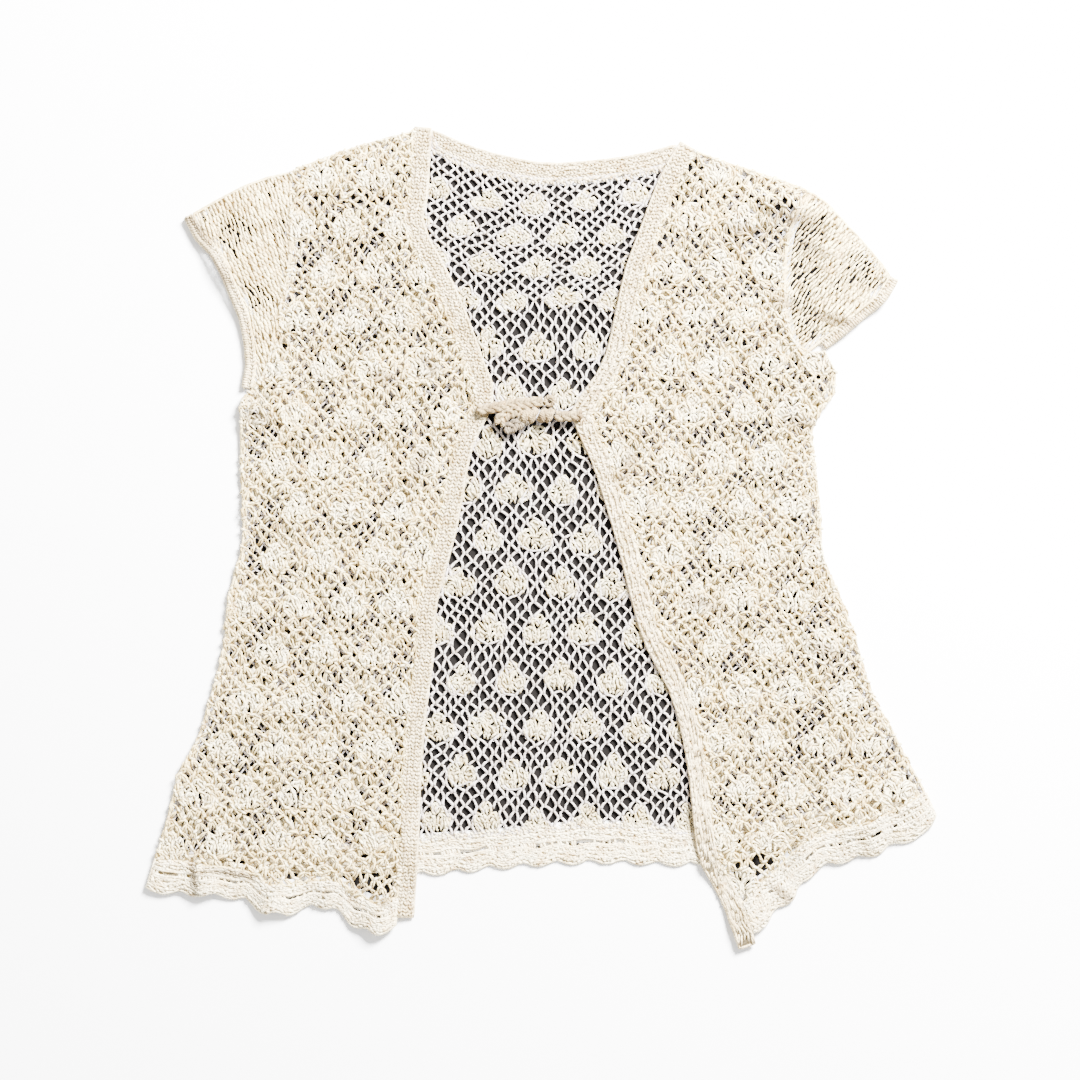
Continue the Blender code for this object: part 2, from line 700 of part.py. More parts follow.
def build_panels():
    lace_panel(
        "back_panel", back_outline, BACK_LATTICE, table_height, back_yarn, garment, cutter_set,
        shown=opening_outline,
    )
    lace_panel(
        "front_left", left_front_outline, LEFT_LATTICE, upper_height, front_yarn, garment, cutter_set,
    )
    lace_panel(
        "front_right", right_front_outline, RIGHT_LATTICE, upper_height, front_yarn, garment, cutter_set,
    )
    sleeves = (
        ("sleeve_left", left_sleeve_outline, LEFT_SLEEVE_LATTICE),
        ("sleeve_right", right_sleeve_outline, RIGHT_SLEEVE_LATTICE),
    )
    for name, outline, lattice in sleeves:
        for layer, height in (("upper", upper_height), ("lower", table_height)):
            lace_panel(
                name + "_" + layer, outline, lattice, height, front_yarn, garment, cutter_set,
                laced=False,
            )


def build_strips():
    for name, seam, edge in (
        ("left", left_band_seam, left_opening), ("right", right_band_seam, right_opening),
    ):
        seam_strip("band_" + name, seam, edge, BAND_SECTION, upper_height, band_yarn, garment)
    seam_strip("band_neck", neck_seam, neck_edge, BAND_SECTION, table_height, band_yarn, garment)
    for name, seam, edge in (("left", left_cuff_seam, left_cuff), ("right", right_cuff_seam, right_cuff)):
        for layer, height in (("upper", upper_height), ("lower", table_height)):
            seam_strip(
                "cuff_" + name + "_" + layer, seam, edge, CUFF_SECTION, height, band_yarn, garment,
            )
    for name, seam, edge in (
        ("left", left_hem_seam, left_hem_edge), ("right", right_hem_seam, right_hem_edge),
    ):
        seam_strip(
            "hem_front_" + name, *scalloped(seam, edge), HEM_SECTION, upper_height, front_yarn, garment,
        )
    hidden = scalloped(back_hem_seam, back_hem_edge, plain=under_a_front)
    seam_strip("hem_back", *hidden, BACK_HEM_SECTION, table_height, back_yarn, garment)


def under_a_front(point):
    return not left_opening[0].x < point.x < right_opening[0].x


def build_tie():
    tie_cord("tie_cord_left", CORD_LEFT, tie_yarn, garment)
    tie_cord("tie_cord_right", CORD_RIGHT, tie_yarn, garment)
    for name, x, y, z, half_length, half_width, half_height, turn in TIE_LUMPS:
        radii = (half_length * MM, half_width * MM, half_height * MM)
        rounded_piece(name, radii, (x, y, z), turn, tie_yarn, garment)
    tie_loop("tie_loop", tie_yarn, garment)


build_panels()
build_strips()
build_tie()
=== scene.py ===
"""Looks of the crocheted cover-up: every strand of its lace, bands, hems and tie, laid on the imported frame.

Metres, with +X across the garment, +Y towards the neck and +Z up from the surface that it lies on.
"""

import math
import random

import bmesh
import bpy
from mathutils import Matrix, Vector, noise
from mathutils.bvhtree import BVHTree
from mathutils.kdtree import KDTree


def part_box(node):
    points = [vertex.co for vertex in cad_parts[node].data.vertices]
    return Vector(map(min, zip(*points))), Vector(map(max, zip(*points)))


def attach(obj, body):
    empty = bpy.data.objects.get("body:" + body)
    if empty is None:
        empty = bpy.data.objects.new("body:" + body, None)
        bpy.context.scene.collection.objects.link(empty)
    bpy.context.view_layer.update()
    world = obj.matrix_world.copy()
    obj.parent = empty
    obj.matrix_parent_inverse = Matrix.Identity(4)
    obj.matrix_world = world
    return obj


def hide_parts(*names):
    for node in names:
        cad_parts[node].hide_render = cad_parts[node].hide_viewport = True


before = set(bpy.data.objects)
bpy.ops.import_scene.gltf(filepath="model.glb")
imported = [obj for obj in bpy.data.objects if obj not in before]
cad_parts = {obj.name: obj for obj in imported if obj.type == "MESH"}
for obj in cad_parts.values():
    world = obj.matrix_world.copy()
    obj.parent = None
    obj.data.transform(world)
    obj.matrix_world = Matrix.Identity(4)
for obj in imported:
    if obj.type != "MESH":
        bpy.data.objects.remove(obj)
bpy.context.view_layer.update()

SEED = 21
random.seed(SEED)
noise.seed_set(SEED)

MM = 0.001
UP = Vector((0.0, 0.0, 1.0))
BODY = "root"

# Outlines and undersides of the solids
WELD = 0.02 * MM
UNDERSIDE_LIMIT = -0.3
GAP_SIDES = 8
RIM_STEP = 1.5 * MM
SEAM_REACH = 1.0 * MM

# Chain loops of the panels' net; the shares are of a loop's width and rise, and of its thickness
LOOP_PITCH = 9.9 * MM
LOOP_ROW = 5.7 * MM
LOOP_STRAND = 0.92 * MM
FOOT_TUCK = 1.5 * MM
FOOT_IN = 0.12
HEEL_IN = 0.1
HEEL_UP = 0.08
SHOULDER_IN = (0.2, 0.32)
SHOULDER_UP = (0.46, 0.68)
WANDER = 4.2 * MM
WANDER_SPAN = 45 * MM
LOOP_JITTER = 1.2 * MM
FRONT_STRAND = 0.9 * MM
KNOTTED = 0.75
FRONT_APART = 0.95 * MM
FOOT_STRAY = 1.1 * MM
FRONT_JITTER = 1.7 * MM
PAIR_SHOULDER_IN = (0.22, 0.36)
PAIR_SHOULDER_UP = (0.4, 0.7)
PRESSED = 0.75
KNOT_STRAND = 1.15 * MM
KNOT_REACH = (1.6, 2.6)
HIDDEN_STRAND = 1.05 * MM
HIDDEN_DEPTH = 14 * MM
OPEN_SPAN = 24 * MM
OPEN_CONTRAST = 1.7
RIM_CHAIN_STEP = 4 * MM

# How the back's lace sags together above a height, in rows that follow the neck
SQUASH_FROM = 188 * MM
SQUASH = 0.68
SQUASHED_ROWS = 16
SQUASHED_SHELL_ROWS = 4
NECK_DIP = 15 * MM
NECK_HALF = 100 * MM

# Rows of slanting stitches of the sleeves
SLEEVE_PITCH = 3.2 * MM
SLEEVE_ROW = 4.6 * MM
SLEEVE_STRAND = 1.05 * MM
SLEEVE_OVERLAP = 0.8 * MM
SLEEVE_DROPPED = 0.7
SLEEVE_SLANTS = (("left", 32), ("right", -30))

# Shell motifs: place of one on each panel, and their repeat
SHELL_REPEAT_X = 40 * MM
SHELL_REPEAT_Y = 38 * MM
BACK_SHELL = (-3 * MM, 0 * MM)
LEFT_SHELL = (-134 * MM, -16 * MM)
RIGHT_SHELL = (142 * MM, -12 * MM)
SHELL_EDGE = 3 * MM
SHELL_TURN = 7.0
SHELL_STRAY = 0.8
SHELL_SIZES = (0.94, 1.06)
SHELL_WIDTHS = (0.88, 1.28)
# What the net keeps clear of, as two ovals in mm: middle x and y, half width and height
SHELL_BODY = (0.0, -1.6, 11.4, 9.2)
SHELL_CAP = (0.3, 8.8, 5.0, 5.6)
SHELL_REACH_X = 18 * MM
SHELL_REACH_Y = 21 * MM
# Lobes of a shell, in mm: middle x and y, half width and height, foot x and y, half foot
SHELL_LOBES = (
    (-5.8, -0.6, 5.5, 6.9, -4.2, -10.2, 2.8),
    (5.8, -0.6, 5.5, 6.9, 4.2, -10.2, 2.8),
    (0.3, 9.0, 4.6, 4.6, 0.2, 4.0, 2.4),
)
LOBE_FROM = 200
LOBE_TO = -20
# Tiers of stitches up a lobe: first and last share of the way from foot to tip, and stitches
LOBE_TIERS = ((0.02, 0.34, 3), (0.24, 0.56, 5), (0.46, 0.8, 6), (0.7, 1.02, 7))
CAP_TIERS = ((0.0, 0.45, 3), (0.3, 0.75, 4), (0.62, 1.03, 5))
PLAIN_TIERS = ((0.0, 1.0, 5),)
CAP_FROM = 5
POST_STRAND = 0.78 * MM
POST_LEAN = 0.65
LOBE_EDGE = 0.85 * MM
LOBE_EDGE_PARTS = 8
LOBE_STRAY = 0.9
PAD_TOP = 0.6 * MM
PAD_GAP = 0.3 * MM
PAD_SIDES = 10
PAD_WIDTH = 0.52
PAD_LENGTH = 0.66

# Grain of the yarn: plies, size of its clouds, flecks and spots in mm, how dark the flecks are, and how dark
# the painted shade in the ply grooves is
YARN_PLIES = 3.0
CLOUD_SIZE = 9.0
FLECK_SIZE = 1.5
FLECK_DEPTH = 0.45
PLY_GROOVE_PAINTED_SHADE = 0.7
SPOT_SIZE = 6.0
TAN_SPOT = "#B08F5C"

# Ribbed bands and hems
BAND_BASE = 1.3 * MM
STITCH_PITCH = 2.9 * MM
STITCH_STRAND = 0.85 * MM
EDGE_STRAND = 1.15 * MM
SECTION_STEP = 4.0 * MM
SCALLOP_PITCH = 27 * MM
CUFF_PITCH = 8.5 * MM
SLIT_FROM = 0.33
SLIT_TO = 0.51
SLIT_OPEN = 0.72
BAND_UNEVEN = 0.2
NECK_JOINING = 0.45
HEM_JOINING = 0.14
HEM_JOIN_UNEVEN = 0.3
HEM_UPPER_UNEVEN = 0.4
HEM_LOWER_UNEVEN = 0.45
HEM_LOWER_TO = 0.96
HEM_BASE_TO = 0.95
HEM_ARC_TO = 0.94
HEM_ARCS = (0.55, 0.92)
HEM_ARC_PARTS = 8
BRIDGE_PITCH = 2.3 * MM
BRIDGE_LEAN = 0.7
# Waving chains of a hem: share of its width, and sway
HEM_CHAINS = (
    (0.12, 0.035), (0.3, 0.035), (0.56, 0.035), (0.74, 0.035), (0.88, 0.035),
    (SLIT_FROM, 0.025), (SLIT_TO, 0.025),
)
HEM_CHAIN_STRAND = 1.05 * MM
WAVE_LENGTH = 34 * MM
SHORT_WAVE = 0.43
CUFF_RIB_TO = 0.45
CUFF_SHELL_FROM = 0.4
CUFF_POSTS = 5

# Routes of the tie's cord, within 2 mm of the part's. Columns: x mm, y mm, centre height mm
TIE_LEFT = (
    (-50, 102, 9.2), (-44, 102.6, 9.3), (-38, 103.8, 9.2), (-31, 105.2, 8.2), (-24, 106.6, 7.4),
    (-16, 107.6, 7.0), (-7, 108.2, 6.8), (1.4, 109, 6.5),
)
TIE_RIGHT = ((12, 97.4, 7.6), (16, 97.1, 8.2), (20, 97, 9.0), (25, 97.2, 9.3), (33, 98, 9.2))
TIE_SHORT_END = (
    (-10, 101, 8.6), (-17, 101.2, 8.4), (-25, 99.4, 8.0), (-31, 95.4, 7.9), (-33.6, 90.5, 7.6),
)
TIE_LONG_END = ((-11, 95.6, 8.4), (-16, 92.4, 8.2), (-22, 89, 7.9), (-28.4, 86.6, 7.7))
TIE_PLIES = 3
TIE_STEP = 1.3 * MM
ROUTE_PARTS = 6
PLY_SPREAD = 2.5 * MM
END_SPREAD = 3.3 * MM
PLY_RISE = 0.6 * MM
PLY_STRAND = 2.0 * MM
PLY_TURN = 19 * MM
WRAP_SPREAD = 1.6 * MM
WRAP_LEAN = 0.3
WRAP_SHIFTS = (-0.45, 0.35)
WRAP_ANGLES = (200, 160, 125, 90, 55, 20, -20)
WRAP_WIDTH = 0.8
WRAP_HEIGHT = 0.62
RING_PARTS = 48
RING_TWISTS = 5
RING_SPREAD = 0.45
RING_STRAND = 0.6

# Creases of the upper layer, read off the photo. Columns: ends x, y, x, y mm, half width mm, height mm
CREASES = (
    (182, 266, 224, 256, 12, 4.2),
    (150, 252, 184, 248, 8, 2.4),
    (206, 240, 228, 230, 6, 2.0),
    (222, 182, 250, 174, 7, 3.6),
    (-282, 264, -262, 240, 7, 2.6),
    (-262, 226, -246, 204, 6, 1.8),
    (-276, -250, -272, -280, 5, 2.2),
    (-262, -262, -226, -268, 5, 1.6),
    (-98, 72, -108, 44, 9, 1.8),
    (70, 72, 58, 46, 9, 1.8),
    (-92, 148, -78, 136, 9, 1.8),
    (-132, 136, -112, 130, 9, 1.6),
    (-236, 106, -212, 100, 9, 1.8),
    (186, 196, 208, 190, 9, 2.0),
    (196, 100, 222, 94, 9, 1.8),
    (120, -44, 144, -50, 9, 1.6),
    (216, -80, 238, -88, 9, 1.8),
    (-150, -268, -118, -290, 6, 1.8),
    (188, -276, 206, -290, 6, 1.6),
)
UPPER_LAYER = (
    "front_left", "front_right", "hem_front_left", "hem_front_right", "sleeve_left_upper",
    "sleeve_right_upper", "cuff_left_upper", "cuff_right_upper",
)
# Shares of a crease's length that it runs past its ends and fades in over; its painted shade lies down one
# slope, in a painted tan of a given strength
CREASE_PAST = 0.3
CREASE_FADE = 0.5
CREASE_SLOPE = 0.6
PAINTED_CREASE_SHADE_STRENGTH = 0.85
PAINTED_CREASE_SHADE_TAN = "#927C5A"

# Floor, sky, lamp and camera; the dark patches lie one over another, at shares of the floor's drop
FLOOR_SIZE = 5.0
FLOOR_DROP = 0.4 * MM
GROUND_INSET = 5.0 * MM
HEM_GROUND_INSET = 12.0 * MM
GROUND_SKIP = 3
GROUND_TRIES = 12
GROUND_DEPTH = 0.9
GROUND_STEP = 0.08
SKY_STRENGTH = 1.6
KEY_PLACE = (1.05, 1.5, 1.4)
KEY_SIZE = 0.7
KEY_POWER = 1300
CAMERA_HEIGHT = 2.0
CAMERA_LENS = 83.3
CAMERA_SENSOR = 36.0
CAMERA_CLIP = 0.05
CAMERA_AIM = (-0.4 * MM, -1.6 * MM)


def shade(code):
    """An sRGB hex colour as linear RGBA."""
    parts = [int(code[index:index + 2], 16) / 255 for index in (1, 3, 5)]
    linear = [part / 12.92 if part <= 0.04045 else ((part + 0.055) / 1.055) ** 2.4 for part in parts]
    return (*linear, 1.0)


def add_node(material, kind, settings=(), links=()):
    """A new node, with its properties and sockets set and its inputs linked from other nodes' outputs."""
    tree = material.node_tree
    node = tree.nodes.new(kind)
    for name, value in dict(settings).items():
        if isinstance(name, str) and hasattr(node, name):
            setattr(node, name, value)
        else:
            node.inputs[name].default_value = value
    for name, (source, output) in dict(links).items():
        tree.links.new(source.outputs[output], node.inputs[name])
    return node


def cotton_yarn(name, light, deep, tan=TAN_SPOT, twists=7.0, relief=0.4):
    """Spun cotton crochet yarn, matt and slightly fuzzy.

    Light and deep clouds the size of a few stitches give the unevenly washed look of hand work. Small tan
    spots are the cotton's own brown. Along the creases the colour is painted tan and darker, as painted
    shade.
    Flecks of a millimetre and a half, coarser than real fibres so that they show, give the fuzz its grain.
    Slanting grooves round each strand are the twist of its plies; they are bumped and painted darker as
    shade.
    """
    material = bpy.data.materials.new(name)
    material.use_nodes = True
    shader = material.node_tree.nodes["Principled BSDF"]
    shader.inputs["Roughness"].default_value = 0.9
    shader.inputs["Metallic"].default_value = 0.0
    shader.inputs["Sheen Weight"].default_value = 0.08
    shader.inputs["Sheen Roughness"].default_value = 0.5
    shader.inputs["Specular IOR Level"].default_value = 0.25
    place = add_node(material, "ShaderNodeTexCoord")
    clouds = add_node(
        material, "ShaderNodeTexNoise",
        {"Scale": 1.0 / (CLOUD_SIZE * MM), "Detail": 3.0, "Roughness": 0.6}, {"Vector": (place, "Object")},
    )
    spread = add_node(
        material, "ShaderNodeMapRange", {"From Min": 0.36, "From Max": 0.6}, {"Value": (clouds, "Fac")},
    )
    blend = add_node(
        material, "ShaderNodeMix", {"data_type": "RGBA", 6: shade(deep), 7: shade(light)},
        {0: (spread, "Result")},
    )
    spots = add_node(
        material, "ShaderNodeTexNoise", {"Scale": 1.0 / (SPOT_SIZE * MM), "Detail": 1.0},
        {"Vector": (place, "Object")},
    )
    spot_share = add_node(
        material, "ShaderNodeMapRange", {"From Min": 0.6, "From Max": 0.74, "To Max": 0.75},
        {"Value": (spots, "Fac")},
    )
    spotted = add_node(
        material, "ShaderNodeMix", {"data_type": "RGBA", 7: shade(tan)},
        {0: (spot_share, "Result"), 6: (blend, 2)},
    )
    # Painted shade: the crease attribute darkens the colour to tan along the creases.
    crease_shade_input = add_node(material, "ShaderNodeAttribute", {"attribute_name": "crease"})
    painted_crease_share = add_node(
        material, "ShaderNodeMath", {"operation": "MULTIPLY", 1: PAINTED_CREASE_SHADE_STRENGTH}, {0: (crease_shade_input, "Fac")},
    )
    with_painted_crease_shade = add_node(
        material, "ShaderNodeMix", {"data_type": "RGBA", 7: shade(PAINTED_CREASE_SHADE_TAN)},
        {0: (painted_crease_share, 0), 6: (spotted, 2)},
    )
    flecks = add_node(
        material, "ShaderNodeTexNoise",
        {"Scale": 1.0 / (FLECK_SIZE * MM), "Detail": 3.0, "Roughness": 0.65}, {"Vector": (place, "Object")},
    )
    fleck_share = add_node(
        material, "ShaderNodeMapRange",
        {"From Min": 0.38, "From Max": 0.59, "To Min": FLECK_DEPTH, "To Max": 1.0},
        {"Value": (flecks, "Fac")},
    )
    speckled = add_node(
        material, "ShaderNodeVectorMath", {"operation": "MULTIPLY"},
        {0: (with_painted_crease_shade, 2), 1: (fleck_share, "Result")},
    )
    along = add_node(
        material, "ShaderNodeMapping", {"Scale": (twists, YARN_PLIES, 1.0)}, {"Vector": (place, "UV")},
    )
    ply = add_node(
        material, "ShaderNodeTexWave",
        {"bands_direction": "DIAGONAL", "Scale": math.tau / 10, "Distortion": 0.6, "Detail Scale": 2.0},
        {"Vector": (along, "Vector")},
    )
    # Painted shade: the ply grooves also darken the colour, besides the bump.
    painted_groove_shade = add_node(
        material, "ShaderNodeMapRange", {"From Max": 0.45, "To Min": PLY_GROOVE_PAINTED_SHADE, "To Max": 1.0},
        {"Value": (ply, "Fac")},
    )
    colour = add_node(
        material, "ShaderNodeVectorMath", {"operation": "MULTIPLY"},
        {0: (speckled, 0), 1: (painted_groove_shade, "Result")},
    )
    height = add_node(
        material, "ShaderNodeMath", {"operation": "MULTIPLY_ADD", 1: 0.5},
        {0: (flecks, "Fac"), 2: (ply, "Fac")},
    )
    bump = add_node(
        material, "ShaderNodeBump", {"Strength": relief, "Distance": 0.35 * MM}, {"Height": (height, 0)},
    )
    material.node_tree.links.new(colour.outputs[0], shader.inputs["Base Color"])
    material.node_tree.links.new(bump.outputs["Normal"], shader.inputs["Normal"])
    return material


def plain_finish(name, code, roughness):
    """White paper or a dark sheet, matt and of one even colour, for the ground under the garment."""
    material = bpy.data.materials.new(name)
    material.use_nodes = True
    shader = material.node_tree.nodes["Principled BSDF"]
    shader.inputs["Base Color"].default_value = shade(code)
    shader.inputs["Roughness"].default_value = roughness
    shader.inputs["Specular IOR Level"].default_value = 0.1
    return material


# Reading the frame


def evenly(line, count):
    """count + 1 points at even distances along a line."""
    lengths = [0.0]
    for start, end in zip(line, line[1:]):
        lengths.append(lengths[-1] + (end - start).length)
    points = []
    index = 0
    for number in range(count + 1):
        target = lengths[-1] * number / count
        while index < len(line) - 2 and lengths[index + 1] < target:
            index += 1
        run = max(lengths[index + 1] - lengths[index], 1e-9)
        points.append(line[index].lerp(line[index + 1], (target - lengths[index]) / run))
    return points


def line_length(line):
    return sum((end - start).length for start, end in zip(line, line[1:]))


def longest_rim(edges):
    """The corners of the longest closed loop of boundary edges, in order, seen from above."""
    spare = set(edges)
    longest = []
    while spare:
        edge = min(spare, key=lambda item: item.index)
        spare.discard(edge)
        corner = edge.verts[0]
        loop = [corner.co.xy.copy()]
        corner = edge.verts[1]
        while True:
            loop.append(corner.co.xy.copy())
            following = [item for item in corner.link_edges if item in spare]
            if not following:
                break
            spare.discard(following[0])
            corner = following[0].other_vert(corner)
        if line_length(loop) > line_length(longest):
            longest = loop
    return longest[:-1]


class Lay:
    """How a solid of the frame lies: its outline and corners from above, and the height of its underside."""

    def __init__(self, node):
        self.node = node
        bm = bmesh.new()
        bm.from_mesh(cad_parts[node].data)
        bmesh.ops.remove_doubles(bm, verts=bm.verts, dist=WELD)
        bm.normal_update()
        others = [face for face in bm.faces if face.normal.z > UNDERSIDE_LIMIT]
        bmesh.ops.delete(bm, geom=others, context="FACES")
        bm.edges.index_update()
        rims = [edge for edge in bm.edges if edge.is_boundary]
        self.outline = longest_rim(rims)
        bmesh.ops.holes_fill(bm, edges=rims, sides=GAP_SIDES)
        self.tree = BVHTree.FromBMesh(bm)
        self.area = sum(face.calc_area() for face in bm.faces)
        bm.free()
        self.low = Vector((min(p.x for p in self.outline), min(p.y for p in self.outline)))
        self.high = Vector((max(p.x for p in self.outline), max(p.y for p in self.outline)))
        closed = self.outline + [self.outline[0]]
        self.rim = evenly(closed, round(line_length(closed) / RIM_STEP))
        self.rim_tree = KDTree(len(self.rim))
        for index, point in enumerate(self.rim):
            self.rim_tree.insert(point.to_3d(), index)
        self.rim_tree.balance()

    def height(self, place):
        start = Vector((place[0], place[1], -1.0))
        hit = self.tree.ray_cast(start, UP)[0]
        if hit is None:
            hit = self.tree.find_nearest(Vector((place[0], place[1], 0.0)))[0]
        return hit.z

    def holds(self, place):
        return self.tree.ray_cast(Vector((place[0], place[1], -1.0)), UP)[0] is not None

    def to_rim(self, place):
        """The nearest point of the outline, and how far it is."""
        point, _, distance = self.rim_tree.find(Vector((place[0], place[1], 0.0)))
        return point.xy, distance

    def kept(self, place):
        """The place, drawn back to the outline if it lies outside."""
        return place if self.holds(place) else self.to_rim(place)[0]


class Strip(Lay):
    """A band, hem or cuff, with places counted along it and from its seam to its free edge."""

    def __init__(self, node, *neighbours):
        super().__init__(node)
        outline = self.outline
        count = len(outline)
        against = [
            any(panel.to_rim(point)[1] < SEAM_REACH for panel in neighbours) for point in outline
        ]
        best = (0, 0)
        for first in range(count):
            run = 0
            while run < count and not against[(first + run) % count]:
                run += 1
            best = max(best, (run, first))
        run, first = best
        edge = [outline[(first + step) % count] for step in range(run)]
        seam = [outline[(first + run + step) % count] for step in range(count - run)]
        self.length = line_length(seam)
        sections = max(2, round(self.length / SECTION_STEP))
        self.sections = sections
        self.seam = evenly(seam, sections)
        self.edge = evenly(edge[::-1], sections)

    def place(self, along, across):
        """The place at a share of the length and a share of the width from the seam."""
        position = min(max(along, 0.0), 1.0) * self.sections
        index = min(int(position), self.sections - 1)
        share = position - index
        seam = self.seam[index].lerp(self.seam[index + 1], share)
        edge = self.edge[index].lerp(self.edge[index + 1], share)
        return seam.lerp(edge, across)


# Creases, strands and pieces


def crease(place):
    """How high the creases lift the upper layer at a place, and how much painted shade they put on its colour
    there.
    """
    lift = 0.0
    painted_crease_shade = 0.0
    x = place[0] / MM
    y = place[1] / MM
    for start_x, start_y, end_x, end_y, half_width, height in CREASES:
        run_x = end_x - start_x
        run_y = end_y - start_y
        length = math.hypot(run_x, run_y)
        along = ((x - start_x) * run_x + (y - start_y) * run_y) / length ** 2
        across = (run_x * (y - start_y) - run_y * (x - start_x)) / length / half_width
        inside = min(along + CREASE_PAST, 1.0 + CREASE_PAST - along)
        if inside > 0.0 and abs(across) < 2.0:
            taper = min(1.0, inside / CREASE_FADE)
            lift = max(lift, taper * height * MM * max(0.0, 1.0 - across ** 2) ** 2)
            downhill = across if run_x < 0 else -across
            painted_crease_shade = max(painted_crease_shade, taper * max(0.0, 1.0 - abs(downhill - CREASE_SLOPE)))
    return lift, painted_crease_shade


class Yarn:
    """Strands gathered as the splines of one curve, until they become closed tubes in a mesh."""

    def __init__(self, roundness):
        self.curve = bpy.data.curves.new("strands", "CURVE")
        self.curve.dimensions = "3D"
        self.curve.bevel_depth = 1.0
        self.curve.bevel_resolution = roundness
        self.curve.use_fill_caps = True

    def strand(self, points, radii, closed=False):
        spline = self.curve.splines.new("POLY")
        spline.points.add(len(points) - 1)
        places = []
        for point in points:
            places.extend((point[0], point[1], point[2], 1.0))
        spline.points.foreach_set("co", places)
        spline.points.foreach_set("radius", radii)
        spline.use_cyclic_u = closed

    def into(self, bm):
        holder = bpy.data.objects.new("strands", self.curve)
        mesh = bpy.data.meshes.new_from_object(holder)
        bm.from_mesh(mesh)
        bpy.data.objects.remove(holder)
        bpy.data.curves.remove(self.curve)
        bpy.data.meshes.remove(mesh)


def linked(name, bm, material):
    """The bmesh as an object at the origin."""
    mesh = bpy.data.meshes.new(name)
    bm.to_mesh(mesh)
    bm.free()
    thing = bpy.data.objects.new(name, mesh)
    bpy.context.scene.collection.objects.link(thing)
    thing.data.materials.append(material)
    return thing


def piece(name, bm, material, slot, lay=None, nodes=()):
    """A finished piece: laid on its panel, welded, smooth, riding on the body."""
    # The crease layer holds how much painted shade each place of a crease gets.
    painted_crease_shade = bm.verts.layers.float.new("crease")
    if lay:
        for vertex in bm.verts:
            vertex.co.z += lay.height(vertex.co)
            if lay.node in UPPER_LAYER:
                lift, vertex[painted_crease_shade] = crease(vertex.co)
                vertex.co.z += lift
    bmesh.ops.remove_doubles(bm, verts=bm.verts, dist=WELD)
    bmesh.ops.recalc_face_normals(bm, faces=bm.faces)
    for face in bm.faces:
        face.smooth = True
    thing = linked(name, bm, material)
    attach(thing, BODY)
    if nodes:
        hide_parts(*nodes)
    return thing


def at(place, height):
    return (place[0], place[1], height)


# Lace


def shell_centres(lay, first, squashed):
    """Where a panel's shells stand: rows half a repeat apart, kept off the panel's edge."""
    centres = []
    rows = range(
        round((lay.low.y - first[1]) / SHELL_REPEAT_Y) - 1,
        round((lay.high.y - first[1]) / SHELL_REPEAT_Y) + SQUASHED_SHELL_ROWS,
    )
    columns = range(
        round((lay.low.x - first[0]) / SHELL_REPEAT_X) - 1,
        round((lay.high.x - first[0]) / SHELL_REPEAT_X) + 2,
    )
    for row in rows:
        for column in columns:
            x = first[0] + (column + 0.5 * (row % 2)) * SHELL_REPEAT_X
            y = first[1] + row * SHELL_REPEAT_Y
            place = settled(Vector((x, y))) if squashed else Vector((x, y))
            place += wander(place) + stray(SHELL_STRAY) * MM
            if lay.holds(place) and lay.to_rim(place)[1] > SHELL_EDGE:
                turn = math.radians(random.uniform(-SHELL_TURN, SHELL_TURN))
                flat = SQUASH if squashed and place.y > SQUASH_FROM else 1.0
                size = random.uniform(*SHELL_SIZES) * flat
                centres.append((place, turn, size, random.uniform(*SHELL_WIDTHS) / flat))
    return centres


def stray(reach):
    """A random step of up to a reach each way."""
    return Vector((random.uniform(-1, 1), random.uniform(-1, 1))) * reach


def wander(place):
    """How far the hand-made lace strays from its even grid here."""
    drift = noise.noise_vector(Vector((place.x, place.y, 0.0)) / WANDER_SPAN)
    return Vector((drift.x, drift.y)) * WANDER


def settled(place):
    """The place on the back, where the lace sags together under the neck, in rows that follow its curve."""
    high = place.y - SQUASH_FROM
    if high <= 0:
        return place
    sag = noise.noise(Vector((place.x, 0.0, 0.0)) / WANDER_SPAN) * WANDER
    sag += NECK_DIP * min(abs(place.x) / NECK_HALF, 1.0) ** 2
    return Vector((place.x, SQUASH_FROM + high * SQUASH + sag * min(high / WANDER_SPAN, 1.0)))


def looseness(place):
    """From 0 where the lace is worked tight to 1 where it is loose, in patches."""
    patch = noise.noise(Vector((place[0], place[1], 0.01)) / OPEN_SPAN)
    return min(max(0.5 + OPEN_CONTRAST * patch, 0.0), 1.0)


def turned(x, y, angle):
    return Vector((x * math.cos(angle) - y * math.sin(angle), x * math.sin(angle) + y * math.cos(angle)))


def clear_of_shell(place, shells):
    """The place pushed out to the rim of the shell it lies in, and whether it was."""
    for centre, turn, size, stretch in shells:
        off = place - centre
        if abs(off.x) > SHELL_REACH_X or abs(off.y) > SHELL_REACH_Y:
            continue
        local = turned(off.x, off.y, -turn) / (MM * size)
        local.x /= stretch
        for x, y, half_width, half_height in (SHELL_BODY, SHELL_CAP):
            share = math.hypot((local.x - x) / half_width, (local.y - y) / half_height)
            if share < 1.0:
                share = max(share, 0.05)
                rim = Vector(((x + (local.x - x) / share) * stretch, y + (local.y - y) / share)) * MM * size
                return centre + turned(rim.x, rim.y, turn), True
    return place, False


